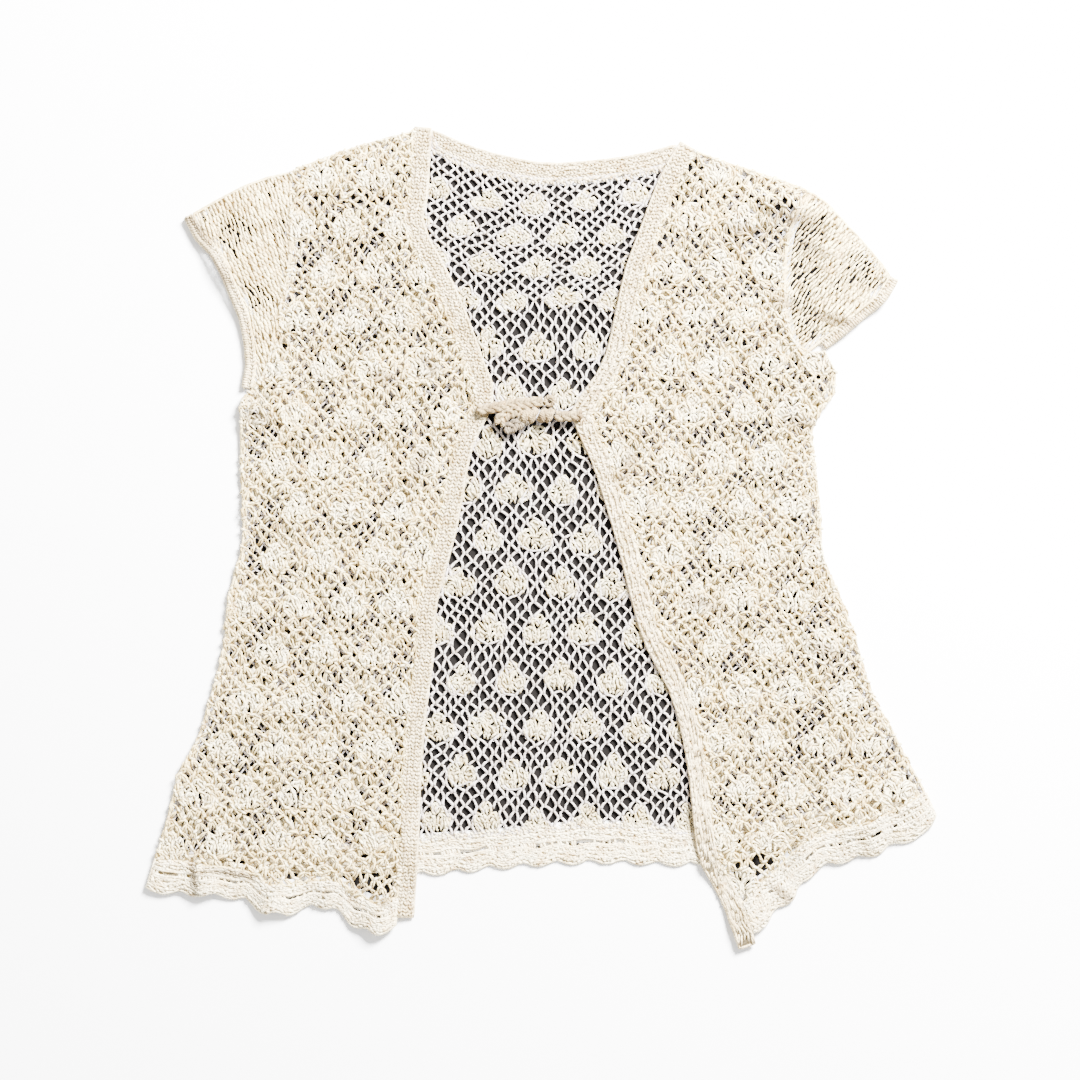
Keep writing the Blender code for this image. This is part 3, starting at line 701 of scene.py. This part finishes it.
class Net:
    """Rows of chain loops over a panel, each standing on the tops of two loops of the row below."""

    def __init__(self, lay, shells, shift, jitter, squashed):
        self.lay = lay
        self.shells = shells
        self.shift = shift
        self.jitter = jitter
        self.squashed = squashed
        self.knots = {}
        self.columns = range(
            math.floor(lay.low.x / LOOP_PITCH) - 1, math.ceil(lay.high.x / LOOP_PITCH) + 1,
        )
        self.rows = range(
            math.floor(lay.low.y / LOOP_ROW) - 1,
            math.ceil(lay.high.y / LOOP_ROW) + (SQUASHED_ROWS if squashed else 1),
        )

    def knot(self, row, column):
        """A knot's place, or None off the panel, and whether a shell or the edge moved it."""
        if (row, column) not in self.knots:
            across = column + self.shift + 0.5 * (row % 2)
            place = Vector((across * LOOP_PITCH, row * LOOP_ROW))
            place = settled(place) if self.squashed else place
            place += wander(place)
            place += stray(self.jitter)
            place, by_shell = clear_of_shell(place, self.shells)
            rim, distance = self.lay.to_rim(place)
            by_edge = not self.lay.holds(place)
            if by_edge:
                place = rim if distance < LOOP_PITCH else None
            self.knots[row, column] = (place, by_shell, by_edge)
        return self.knots[row, column]

    def loops(self):
        """Left foot, right foot and top of every loop."""
        for row in self.rows:
            for column in self.columns:
                knots = [
                    self.knot(row, column), self.knot(row, column + 1), self.knot(row + 1, column + row % 2),
                ]
                if any(place is None for place, _, _ in knots):
                    continue
                by_shell = sum(moved for _, moved, _ in knots)
                by_edge = sum(moved for _, _, moved in knots)
                if by_shell < 3 and by_edge < 3:
                    yield [place for place, _, _ in knots]


def hook_loop(yarn, left, right, top, radius):
    """A loop whose feet pass over the loops below and tuck in behind them."""
    rise = top - left.lerp(right, 0.5)
    tuck = rise.normalized() * FOOT_TUCK
    wide = right - left
    points = [
        at(left + wide * FOOT_IN - tuck, radius * 0.7),
        at(left + wide * HEEL_IN + rise * HEEL_UP, radius * 1.9),
        at(left + wide * random.uniform(*SHOULDER_IN) + rise * random.uniform(*SHOULDER_UP), radius * 1.3),
        at(top, radius),
        at(right - wide * random.uniform(*SHOULDER_IN) + rise * random.uniform(*SHOULDER_UP), radius * 1.3),
        at(right - wide * HEEL_IN + rise * HEEL_UP, radius * 1.9),
        at(right - wide * FOOT_IN - tuck, radius * 0.7),
    ]
    thick = radius * random.uniform(0.86, 1.14)
    yarn.strand(points, [thick * share * random.uniform(0.9, 1.1) for share in (1, 1.15, 1, 1, 1, 1.15, 1)])


def double_loop(yarn, left, right, top, radius):
    """A loop of two strands side by side, crossing at its top, thinner where the lace is loose."""
    loose = looseness(top)
    radius *= 1.2 - 0.4 * loose
    left, right, top = (place + stray(FOOT_STRAY) for place in (left, right, top))
    rise = top - left.lerp(right, 0.5)
    tuck = rise.normalized() * FOOT_TUCK * 0.7
    wide = right - left
    crossing = random.choice((-1, 1))
    for side in (-1, 1):
        apart = side * FRONT_APART * random.uniform(0.8, 1.3) * (1.15 - 0.45 * loose)
        first = left + wide * random.uniform(*PAIR_SHOULDER_IN) + rise * random.uniform(*PAIR_SHOULDER_UP)
        last = right - wide * random.uniform(*PAIR_SHOULDER_IN) + rise * random.uniform(*PAIR_SHOULDER_UP)
        slant = Vector((-rise.y, rise.x)).normalized() * apart
        over = 1.0 + 0.7 * (side == crossing)
        points = [
            at(left + wide * HEEL_IN - tuck - slant, radius * 1.3),
            at(first - slant, radius * random.uniform(1.9, 2.6) * over),
            at(top + Vector((0.0, apart * 0.8)), radius * 1.6 * over),
            at(last + slant, radius * random.uniform(1.2, 1.9)),
            at(right - wide * HEEL_IN - tuck + slant, radius * 1.1),
        ]
        yarn.strand(points, [radius * random.uniform(0.8, 1.2) for _ in points])


def plain_loop(yarn, left, right, top, radius):
    """A hidden loop, with only its feet and top."""
    thick = radius * (1.25 - 0.5 * looseness(top))
    yarn.strand([at(left, thick), at(top, thick), at(right, thick)], [thick] * 3)


def loop_knot(yarn, top, radius):
    """The stitch that ties a loop's top, lying across it at its own slant."""
    angle = random.uniform(0.2, 1.2) * random.choice((-1, 1))
    reach = Vector((math.cos(angle), math.sin(angle))) * random.uniform(*KNOT_REACH) * MM
    points = [at(top - reach, radius), at(top, radius * 2.0), at(top + reach, radius)]
    thick = KNOT_STRAND * random.uniform(0.8, 1.1)
    yarn.strand(points, [thick * 0.8, thick, thick * 0.8])


def shell_posts(yarn, lay, centre, turn, size, stretch, simple):
    """A shell's stitches, in tiers that fan out from each lobe's foot, and the chain round each lobe."""

    def local(x, y):
        return lay.kept(centre + turned(x * stretch * MM * size, y * MM * size, turn))

    for x, y, half_width, half_height, foot_x, foot_y, half_foot in SHELL_LOBES:
        x += random.uniform(-LOBE_STRAY, LOBE_STRAY)
        y += random.uniform(-LOBE_STRAY, LOBE_STRAY)
        half_width *= random.uniform(0.86, 1.18)
        half_height *= random.uniform(0.86, 1.16)

        def fan(angle, share):
            """A place on the lobe, at an angle of its fan and a share of the way from foot to tip."""
            tip_x = x + half_width * math.cos(angle)
            tip_y = y + half_height * math.sin(angle)
            start_x = foot_x + half_foot * math.cos(angle)
            bulge = math.cos(angle) * half_width * 0.4 * share * (1 - share)
            return start_x + (tip_x - start_x) * share + bulge, foot_y + (tip_y - foot_y) * share

        tiers = CAP_TIERS if y > CAP_FROM else LOBE_TIERS
        if simple:
            tiers = PLAIN_TIERS
        for first, last, stitches in tiers:
            for number in range(stitches):
                angle = math.radians(LOBE_FROM + (LOBE_TO - LOBE_FROM) * (number + 0.5) / stitches)
                angle += random.uniform(-0.12, 0.12)
                lean = random.uniform(-POST_LEAN, POST_LEAN)
                low = fan(angle - lean, first + random.uniform(-0.05, 0.08))
                high = fan(angle + lean, last + random.uniform(-0.08, 0.03))
                middle = fan(angle + random.uniform(-0.1, 0.1), (first + last) / 2)
                rise = random.uniform(1.2, 2.9) * MM
                thick = POST_STRAND * random.uniform(0.8, 1.3) * (1.5 if simple else 1.0)
                points = [at(local(*low), thick), at(local(*middle), rise), at(local(*high), thick * 1.05)]
                yarn.strand(points, [thick * 0.85, thick, thick * 1.05])
        if not simple:
            angles = [
                math.radians(LOBE_FROM + (LOBE_TO - LOBE_FROM) * step / LOBE_EDGE_PARTS)
                for step in range(LOBE_EDGE_PARTS + 1)
            ]
            edge = [at(local(*fan(angle, random.uniform(0.86, 1.1))), 1.3 * MM) for angle in angles]
            yarn.strand(edge, [LOBE_EDGE * random.uniform(0.75, 1.2) for _ in angles])


def shell_pads(bm, lay, centre, turn, size, stretch):
    """The thin closed ground under a shell's posts, one flat round for each lobe."""
    for x, y, half_width, half_height, _, low, _ in SHELL_LOBES:
        high = y + half_height * 0.9
        made = bmesh.ops.create_cone(
            bm, cap_ends=True, cap_tris=False, segments=PAD_SIDES, radius1=1.0, radius2=0.9, depth=PAD_TOP,
        )["verts"]
        size_x = half_width * PAD_WIDTH * MM * size * stretch
        size_y = (high - low) / 2 * PAD_LENGTH * MM * size
        bmesh.ops.scale(bm, verts=made, vec=(size_x, size_y, 1.0))
        bmesh.ops.rotate(bm, verts=made, cent=(0, 0, 0), matrix=Matrix.Rotation(turn, 3, "Z"))
        offset = turned(x * stretch * MM * size, (low + high) / 2 * MM * size, turn)
        for vertex in made:
            vertex.co.xy = lay.kept(vertex.co.xy + centre + offset)
            vertex.co.z += PAD_TOP / 2 + PAD_GAP


def rim_chain(yarn, lay, radius):
    """The chain worked along the whole edge of a panel."""
    line = evenly(lay.outline + [lay.outline[0]], round(line_length(lay.outline) / RIM_CHAIN_STEP))[:-1]
    points = [at(point, radius) for point in line]
    yarn.strand(points, [radius * random.uniform(0.85, 1.15) for _ in points], closed=True)


def lace(name, node, first_shell, yarns, front, hidden=None):
    """A panel of lace: its net as the cloth, and the shells worked into it.

    A front's net is half a loop out of step with the back's, of double strands, pressed flatter, with knots.
    """
    lay = Lay(node)
    shells = shell_centres(lay, first_shell, not front)
    shift, jitter, strand, slot = 0.0, LOOP_JITTER, LOOP_STRAND, "back_lace"
    if front:
        shift, jitter, strand, slot = 0.5, FRONT_JITTER, FRONT_STRAND, "front_lace"
    net = Net(lay, shells, shift, jitter, not front)
    fine = Yarn(0 if front else 1)
    plain = Yarn(0)
    knots = Yarn(0)
    for left, right, top in net.loops():
        if hidden and hidden(top):
            plain_loop(plain, left, right, top, HIDDEN_STRAND)
        elif front:
            double_loop(fine, left, right, top, strand)
            if random.random() < KNOTTED:
                loop_knot(knots, top, strand * 1.5)
        else:
            hook_loop(fine, left, right, top, strand)
    rim_chain(plain, lay, EDGE_STRAND)
    bm = bmesh.new()
    fine.into(bm)
    plain.into(bm)
    if front:
        bmesh.ops.scale(bm, verts=bm.verts, vec=(1.0, 1.0, PRESSED))
    cloth = piece(name + "_net", bm, yarns[0], slot, lay, [node])
    posts = Yarn(0)
    bm = bmesh.new()
    for shell in shells:
        shell_pads(bm, lay, *shell)
        shell_posts(posts, lay, *shell, bool(hidden and hidden(shell[0])))
    posts.into(bm)
    knots.into(bm)
    raised = piece(name + "_shells", bm, yarns[1], slot, lay)
    return lay, cloth, raised


def sleeve(name, node, turn, shift, dropped, material):
    """A layer of a cap sleeve: rows of posts side by side, with slits between them, some of them open."""
    lay = Lay(node)
    posts = Yarn(1)
    corners = [turned(point.x, point.y, -turn) for point in lay.outline]
    rows = range(
        math.floor(min(corner.y for corner in corners) / SLEEVE_ROW),
        math.ceil(max(corner.y for corner in corners) / SLEEVE_ROW),
    )
    columns = range(
        math.floor(min(corner.x for corner in corners) / SLEEVE_PITCH),
        math.ceil(max(corner.x for corner in corners) / SLEEVE_PITCH),
    )
    for row in rows:
        slip = 0.5 * (row % 2) + random.uniform(-0.1, 0.1)
        for column in columns:
            x = (column + shift + slip + random.uniform(-0.2, 0.2)) * SLEEVE_PITCH
            lean = random.uniform(-0.05, 0.6) * SLEEVE_PITCH
            low = turned(x, (row + random.uniform(-0.14, 0.14)) * SLEEVE_ROW - SLEEVE_OVERLAP, turn)
            high = turned(x + lean, (row + random.uniform(0.86, 1.14)) * SLEEVE_ROW + SLEEVE_OVERLAP, turn)
            low += wander(low)
            high += wander(high)
            if random.random() < dropped * looseness(low) ** 2 or not lay.holds(low.lerp(high, 0.5)):
                continue
            low = lay.kept(low)
            high = lay.kept(high)
            thick = SLEEVE_STRAND * random.uniform(0.8, 1.2) * (1.14 - 0.45 * looseness(low))
            points = [
                at(low, thick * 0.7), at(low.lerp(high, 0.3), thick * 1.5),
                at(low.lerp(high, 0.75), thick * 1.4), at(high, thick * 0.9),
            ]
            posts.strand(points, [thick * 0.8, thick, thick, thick * 0.8])
    rim_chain(posts, lay, EDGE_STRAND)
    bm = bmesh.new()
    posts.into(bm)
    bmesh.ops.scale(bm, verts=bm.verts, vec=(1.0, 1.0, PRESSED))
    return lay, piece(name, bm, material, "front_lace", lay, [node])


# Bands, hems and cuffs


def base_strip(bm, strip, first, last, thickness):
    """The strip's closed ground, between two shares of its width."""
    made = bmesh.ops.create_grid(bm, x_segments=strip.sections, y_segments=3, size=0.5)["verts"]
    for vertex in made:
        vertex.co.xy = strip.place(vertex.co.x + 0.5, first + (vertex.co.y + 0.5) * (last - first))
    faces = list({face for vertex in made for face in vertex.link_faces})
    top = bmesh.ops.extrude_face_region(bm, geom=faces, use_keep_orig=True)["geom"]
    lifted = [item for item in top if isinstance(item, bmesh.types.BMVert)]
    bmesh.ops.translate(bm, verts=lifted, vec=(0.0, 0.0, thickness))


def stitch_rows(yarn, strip, first, last, ribs, uneven=0.12, hidden=None):
    """Ribs of V-shaped stitches between two shares of the strip's width, left out where nothing shows."""
    count = round(strip.length / STITCH_PITCH)
    width = (last - first) / ribs
    for rib in range(ribs):
        middle = first + (rib + 0.5) * width
        for number in range(count):
            if hidden and hidden(strip.place(number / count, middle)):
                continue
            for side in (-1, 1):
                slip = random.uniform(-uneven, uneven)
                drift = random.uniform(-uneven, uneven) * width
                outer = strip.place((number + slip) / count, middle + drift + side * width * 0.47)
                inner = strip.place((number + 0.85 + slip) / count, middle + drift + side * width * 0.04)
                top = random.uniform(1.8, 2.2 + uneven) * MM
                points = [at(outer, 1.5 * MM), at(outer.lerp(inner, 0.5), top), at(inner, 1.4 * MM)]
                thick = STITCH_STRAND * random.uniform(0.85, 1.1 + uneven)
                yarn.strand(points, [thick * 0.9, thick, thick * 0.85])


def wavy_chain(yarn, strip, across, sway, radius):
    """A long chain that waves along a strip, about a share of its width."""
    count = max(4, round(strip.length / RIM_CHAIN_STEP))
    phase = random.uniform(0, math.tau)
    points = []
    for step in range(count + 1):
        along = step / count
        wave = math.sin(math.tau * along * strip.length / WAVE_LENGTH + phase)
        wave += 0.5 * math.sin(math.tau * along * strip.length / (SHORT_WAVE * WAVE_LENGTH) + 2 * phase)
        points.append(at(strip.place(along, across + sway * wave), 2.0 * MM))
    yarn.strand(points, [radius * random.uniform(0.75, 1.2) for _ in points])


def slit_bridges(yarn, strip, slits):
    """Posts across the row of slits, missing here and there so that the slits differ in length."""
    count = round(strip.length / BRIDGE_PITCH)
    for number in range(count):
        low = strip.place((number + 0.5) / count, SLIT_FROM - 0.05)
        if looseness(low) > 0.3 and random.random() < slits:
            continue
        lean = random.uniform(-BRIDGE_LEAN, BRIDGE_LEAN)
        high = strip.place((number + 0.5 + lean) / count, SLIT_TO + 0.06)
        points = [at(low, 1.2 * MM), at(low.lerp(high, 0.5), 1.6 * MM), at(high, 1.2 * MM)]
        yarn.strand(points, [1.2 * MM] * 3)


def edge_chain(yarn, strip, radius):
    """The chain along a strip's free edge and down its two ends."""
    line = [strip.seam[0], *strip.edge, strip.seam[-1]]
    points = [at(point, radius) for point in line]
    yarn.strand(points, [radius * random.uniform(0.85, 1.15) for _ in points])


def cuff_shells(yarn, strip):
    """A row of shells along the free edge, each a fan of posts from one stitch."""
    count = max(1, round(strip.length / CUFF_PITCH))
    for number in range(count):
        middle = (number + 0.5) / count
        for post in range(CUFF_POSTS):
            across = -1 + 2 * post / (CUFF_POSTS - 1)
            foot = strip.place(middle + across * 0.42 / count, CUFF_SHELL_FROM)
            tip = strip.place(middle + across * 0.5 / count, 0.985 - 0.05 * abs(across))
            points = [at(foot, 1.2 * MM), at(foot.lerp(tip, 0.55), 1.9 * MM), at(tip, 1.3 * MM)]
            thick = random.uniform(0.9, 1.1)
            yarn.strand(points, [0.9 * MM * thick, 1.25 * MM * thick, 1.5 * MM * thick])


def hem_arcs(yarn, strip):
    """Two chains that arch through each shell of the hem, one inside the other."""
    count = max(1, round(strip.length / SCALLOP_PITCH))
    for number in range(count):
        middle = (number + 0.5 + random.uniform(-0.08, 0.08)) / count
        for reach in HEM_ARCS:
            points = []
            for step in range(HEM_ARC_PARTS + 1):
                angle = math.pi * step / HEM_ARC_PARTS
                along = middle - 0.47 * reach * math.cos(angle) / count
                across = SLIT_TO + (HEM_ARC_TO - SLIT_TO) * reach * math.sin(angle)
                points.append(at(strip.place(along, across), 2.0 * MM))
            yarn.strand(points, [1.0 * MM * random.uniform(0.8, 1.25) for _ in points])


def ribbed_band(name, node, neighbours, material, joining=0.0):
    """A band of three ribs of stitches and, where a joining share is given, a row over the lace it meets."""
    strip = Strip(node, *neighbours)
    yarn = Yarn(0)
    stitch_rows(yarn, strip, 0.0, 1.0, 3, BAND_UNEVEN)
    if joining:
        stitch_rows(yarn, strip, -joining, 0.0, 1, BAND_UNEVEN)
    edge_chain(yarn, strip, EDGE_STRAND)
    bm = bmesh.new()
    base_strip(bm, strip, 0.0, 1.0, BAND_BASE)
    yarn.into(bm)
    return strip, piece(name, bm, material, "band", strip, [node])


def scalloped_hem(name, node, neighbours, material, slits, hidden=None):
    """A hem: uneven stitches and waving chains, a row of slits, and two arched chains for each scallop."""
    strip = Strip(node, *neighbours)
    yarn = Yarn(0)
    stitch_rows(yarn, strip, 0.0, SLIT_FROM, 3, HEM_UPPER_UNEVEN, hidden)
    if hidden:
        stitch_rows(yarn, strip, -HEM_JOINING, 0.0, 1, HEM_JOIN_UNEVEN, hidden)
    stitch_rows(yarn, strip, SLIT_TO, HEM_LOWER_TO, 4, HEM_LOWER_UNEVEN, hidden)
    for across, sway in HEM_CHAINS:
        wavy_chain(yarn, strip, across, sway, HEM_CHAIN_STRAND)
    slit_bridges(yarn, strip, slits)
    hem_arcs(yarn, strip)
    edge_chain(yarn, strip, EDGE_STRAND)
    bm = bmesh.new()
    base_strip(bm, strip, 0.0, SLIT_FROM, BAND_BASE)
    base_strip(bm, strip, SLIT_TO, HEM_BASE_TO, BAND_BASE)
    yarn.into(bm)
    return strip, piece(name, bm, material, "hem", strip, [node])


def cuff(name, node, sleeve_lay, material):
    """The small scalloped edge of a sleeve."""
    strip = Strip(node, sleeve_lay)
    yarn = Yarn(0)
    stitch_rows(yarn, strip, 0.0, CUFF_RIB_TO, 1)
    cuff_shells(yarn, strip)
    edge_chain(yarn, strip, EDGE_STRAND * 0.8)
    bm = bmesh.new()
    yarn.into(bm)
    return piece(name, bm, material, "band", strip, [node])


# Tie


def smooth_route(table):
    """Close points on the smooth curve through a route's points."""
    knots = [Vector(row) * MM for row in table]
    knots = [2 * knots[0] - knots[1]] + knots + [2 * knots[-1] - knots[-2]]
    fine = []
    for before, start, end, after in zip(knots, knots[1:], knots[2:], knots[3:]):
        for part in range(ROUTE_PARTS):
            share = part / ROUTE_PARTS
            fine.append(0.5 * (
                2 * start + (end - before) * share
                + (2 * before - 5 * start + 4 * end - after) * share ** 2
                + (3 * start - before - 3 * end + after) * share ** 3
            ))
    return fine + [knots[-2]]


def plait(yarn, table, spread):
    """Three strands plaited into a soft, rather flat cord along a route."""
    route = smooth_route(table)
    line = evenly(route, round(line_length(route) / TIE_STEP))
    step = line_length(line) / (len(line) - 1)
    for ply in range(TIE_PLIES):
        points = []
        for index, middle in enumerate(line):
            ahead = line[min(index + 1, len(line) - 1)] - line[max(index - 1, 0)]
            side = ahead.cross(UP).normalized()
            over = side.cross(ahead).normalized()
            angle = math.tau * (index * step / PLY_TURN + ply / TIE_PLIES)
            points.append(middle + side * math.sin(angle) * spread + over * math.sin(2 * angle) * PLY_RISE)
        yarn.strand(points, [PLY_STRAND * random.uniform(0.88, 1.12) for _ in points])


def tie_cord(name, node, table, material, spread=PLY_SPREAD):
    """A stretch of the tie: its plaited cord."""
    yarn = Yarn(1)
    plait(yarn, table, spread)
    bm = bmesh.new()
    yarn.into(bm)
    return piece(name, bm, material, "tie", None, [node])


def tie_wrap(name, node, material):
    """A lump of the knot: the cord wrapped over a core of itself."""
    low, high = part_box(node)
    centre = (low + high) / 2 / MM
    half = (high - low) / 2 / MM
    bm = bmesh.new()
    bmesh.ops.create_uvsphere(bm, u_segments=20, v_segments=12, radius=1.0)
    bmesh.ops.scale(bm, verts=bm.verts, vec=half * WRAP_WIDTH * MM)
    bmesh.ops.translate(bm, verts=bm.verts, vec=centre * MM)
    yarn = Yarn(1)
    for shift in WRAP_SHIFTS:
        route = []
        for angle in WRAP_ANGLES:
            sine = math.sin(math.radians(angle))
            cosine = math.cos(math.radians(angle))
            route.append((
                centre.x + (shift + WRAP_LEAN * cosine) * half.x,
                centre.y + half.y * WRAP_WIDTH * cosine,
                centre.z + half.z * WRAP_HEIGHT * sine,
            ))
        plait(yarn, route, WRAP_SPREAD)
    yarn.into(bm)
    return piece(name, bm, material, "tie", None, [node])


def twisted_ring(name, node, material):
    """The small loop beside the knot, of two strands twisted round each other."""
    low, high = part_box(node)
    centre = (low + high) / 2
    radius = (high.x - low.x) / 2 - (high.z - low.z) / 2
    thick = (high.z - low.z) / 2
    yarn = Yarn(1)
    for ply in range(2):
        points = []
        for step in range(RING_PARTS):
            angle = math.tau * step / RING_PARTS
            twist = RING_TWISTS * angle + math.pi * ply
            reach = radius + RING_SPREAD * thick * math.cos(twist)
            points.append(centre + Vector((
                reach * math.cos(angle), reach * math.sin(angle), RING_SPREAD * thick * math.sin(twist),
            )))
        yarn.strand(points, [RING_STRAND * thick] * RING_PARTS, closed=True)
    bm = bmesh.new()
    yarn.into(bm)
    return piece(name, bm, material, "tie", None, [node])


# The garment

front_cotton = cotton_yarn("cotton_yarn_front", "#EFDAA0", "#CFB476")
front_shell_cotton = cotton_yarn("cotton_yarn_front_shells", "#FBEFC8", "#E6D3A0")
sleeve_cotton = cotton_yarn("cotton_yarn_sleeves", "#F2DFA9", "#D6BC83", twists=3.0)
back_cotton = cotton_yarn("cotton_yarn_back", "#DDD3CC", "#C2B5AA", "#B7A690")
back_shell_cotton = cotton_yarn("cotton_yarn_back_shells", "#E4D8B2", "#CDBA8B", "#B79C66")
band_cotton = cotton_yarn("cotton_yarn_bands", "#E2D0A6", "#C6B081", twists=3.0)
hem_cotton = cotton_yarn("cotton_yarn_hems", "#FAEDC9", "#E7D3A4", twists=4.0)
tie_cotton = cotton_yarn("cotton_yarn_tie", "#A38D64", "#77613F", twists=12.0, relief=0.8)
tie_end_cotton = cotton_yarn("cotton_yarn_tie_end", "#807159", "#5F5240", twists=12.0, relief=0.8)

left_opening = Lay("band_left")
right_opening = Lay("band_right")


def under_a_front(place):
    """Whether a place of the back is well under a front, behind its band."""
    height = min(max(place.y, -0.31), 0.31)
    left = max((p.x for p in left_opening.rim if abs(p.y - height) < 6 * MM), default=-1.0)
    right = min((p.x for p in right_opening.rim if abs(p.y - height) < 6 * MM), default=1.0)
    return place.x < left - HIDDEN_DEPTH or place.x > right + HIDDEN_DEPTH


back, back_net, back_shells = lace(
    "back", "back_panel", BACK_SHELL, (back_cotton, back_shell_cotton), False, under_a_front,
)
left, left_net, left_shells = lace(
    "front_left", "front_left", LEFT_SHELL, (front_cotton, front_shell_cotton), True,
)
right, right_net, right_shells = lace(
    "front_right", "front_right", RIGHT_SHELL, (front_cotton, front_shell_cotton), True,
)

left_hem, left_hem_piece = scalloped_hem(
    "hem_left", "hem_front_left", [left], hem_cotton, SLIT_OPEN,
)
right_hem, right_hem_piece = scalloped_hem(
    "hem_right", "hem_front_right", [right], hem_cotton, SLIT_OPEN / 2,
)
back_hem, back_hem_piece = scalloped_hem(
    "hem_behind", "hem_back", [back], hem_cotton, SLIT_OPEN, under_a_front,
)
left_band_piece = ribbed_band("band_left_stitches", "band_left", [left, left_hem], band_cotton)[1]
right_band_piece = ribbed_band("band_right_stitches", "band_right", [right, right_hem], band_cotton)[1]
neck_band_piece = ribbed_band("band_neck_stitches", "band_neck", [back], band_cotton, NECK_JOINING)[1]

sleeve_lays = []
for side, slant in SLEEVE_SLANTS:
    for layer, shift, dropped in (("lower", 0.5, SLEEVE_DROPPED), ("upper", 0.0, 0.0)):
        node = "sleeve_" + side + "_" + layer
        lay, net_piece = sleeve(node + "_net", node, math.radians(slant), shift, dropped, sleeve_cotton)
        sleeve_lays.append(lay)
        cuff_node = "cuff_" + side + "_" + layer
        cuff_piece = cuff(cuff_node + "_edge", cuff_node, lay, band_cotton)

tie_cord("tie_left_cord", "tie_cord_left", TIE_LEFT, tie_cotton)
tie_cord("tie_right_cord", "tie_cord_right", TIE_RIGHT, tie_cotton)
tie_cord("tie_long_end", "tie_end_long", TIE_LONG_END, tie_end_cotton, END_SPREAD)
tie_cord("tie_short_end", "tie_end_short", TIE_SHORT_END, tie_cotton, END_SPREAD)
tie_wrap("tie_knot_lobe", "tie_knot", tie_cotton)
tie_wrap("tie_knot_side_lobe", "tie_knot_side", tie_cotton)
twisted_ring("tie_ring", "tie_loop", tie_cotton)


# Ground, light and camera


def floor():
    bm = bmesh.new()
    bmesh.ops.create_grid(bm, x_segments=1, y_segments=1, size=FLOOR_SIZE / 2)
    bmesh.ops.translate(bm, verts=bm.verts, vec=(0.0, 0.0, -FLOOR_DROP))
    linked("pale_floor", bm, plain_finish("matt_white_paper", "#F4F4F4", 0.9))


def dark_ground():
    """The dark ground that the photo shows through the lace, kept inside the garment's outline."""
    bm = bmesh.new()
    grounds = (back, left, right, back_hem, left_hem, right_hem, sleeve_lays[0], sleeve_lays[2])
    for index, lay in enumerate(grounds):
        inset = HEM_GROUND_INSET if "hem" in lay.node else GROUND_INSET
        line = []
        for point in lay.rim[::GROUND_SKIP]:
            inward = [
                point + Vector((math.cos(angle), math.sin(angle))) * inset
                for angle in (math.tau * step / GROUND_TRIES for step in range(GROUND_TRIES))
            ]
            line.append(max(inward, key=lambda spot: lay.to_rim(spot)[1] if lay.holds(spot) else 0.0))
        height = -FLOOR_DROP * (GROUND_DEPTH - GROUND_STEP * index)
        corners = [bm.verts.new((spot.x, spot.y, height)) for spot in line]
        edges = [bm.edges.new((a, b)) for a, b in zip(corners, corners[1:] + corners[:1])]
        bmesh.ops.triangle_fill(bm, edges=edges, use_beauty=True)
    linked("dark_ground", bm, plain_finish("matt_dark_sheet", "#0E0C0B", 1.0))


def key_light():
    light = bpy.data.lights.new("key_light", "AREA")
    light.shape = "SQUARE"
    light.size = KEY_SIZE
    light.energy = KEY_POWER
    thing = bpy.data.objects.new("key_light", light)
    thing.location = KEY_PLACE
    thing.rotation_euler = (-Vector(KEY_PLACE)).to_track_quat("-Z", "Y").to_euler()
    bpy.context.scene.collection.objects.link(thing)


def soft_sky():
    world = bpy.data.worlds.new("soft_sky")
    world.use_nodes = True
    world.node_tree.nodes["Background"].inputs["Color"].default_value = (1.0, 1.0, 1.0, 1.0)
    world.node_tree.nodes["Background"].inputs["Strength"].default_value = SKY_STRENGTH
    bpy.context.scene.world = world


def camera():
    view = bpy.data.cameras.new("from_above")
    view.lens = CAMERA_LENS
    view.sensor_width = CAMERA_SENSOR
    view.clip_start = CAMERA_CLIP
    thing = bpy.data.objects.new("from_above", view)
    thing.location = (*CAMERA_AIM, CAMERA_HEIGHT)
    bpy.context.scene.collection.objects.link(thing)
    bpy.context.scene.camera = thing


floor()
dark_ground()
soft_sky()
key_light()
camera()
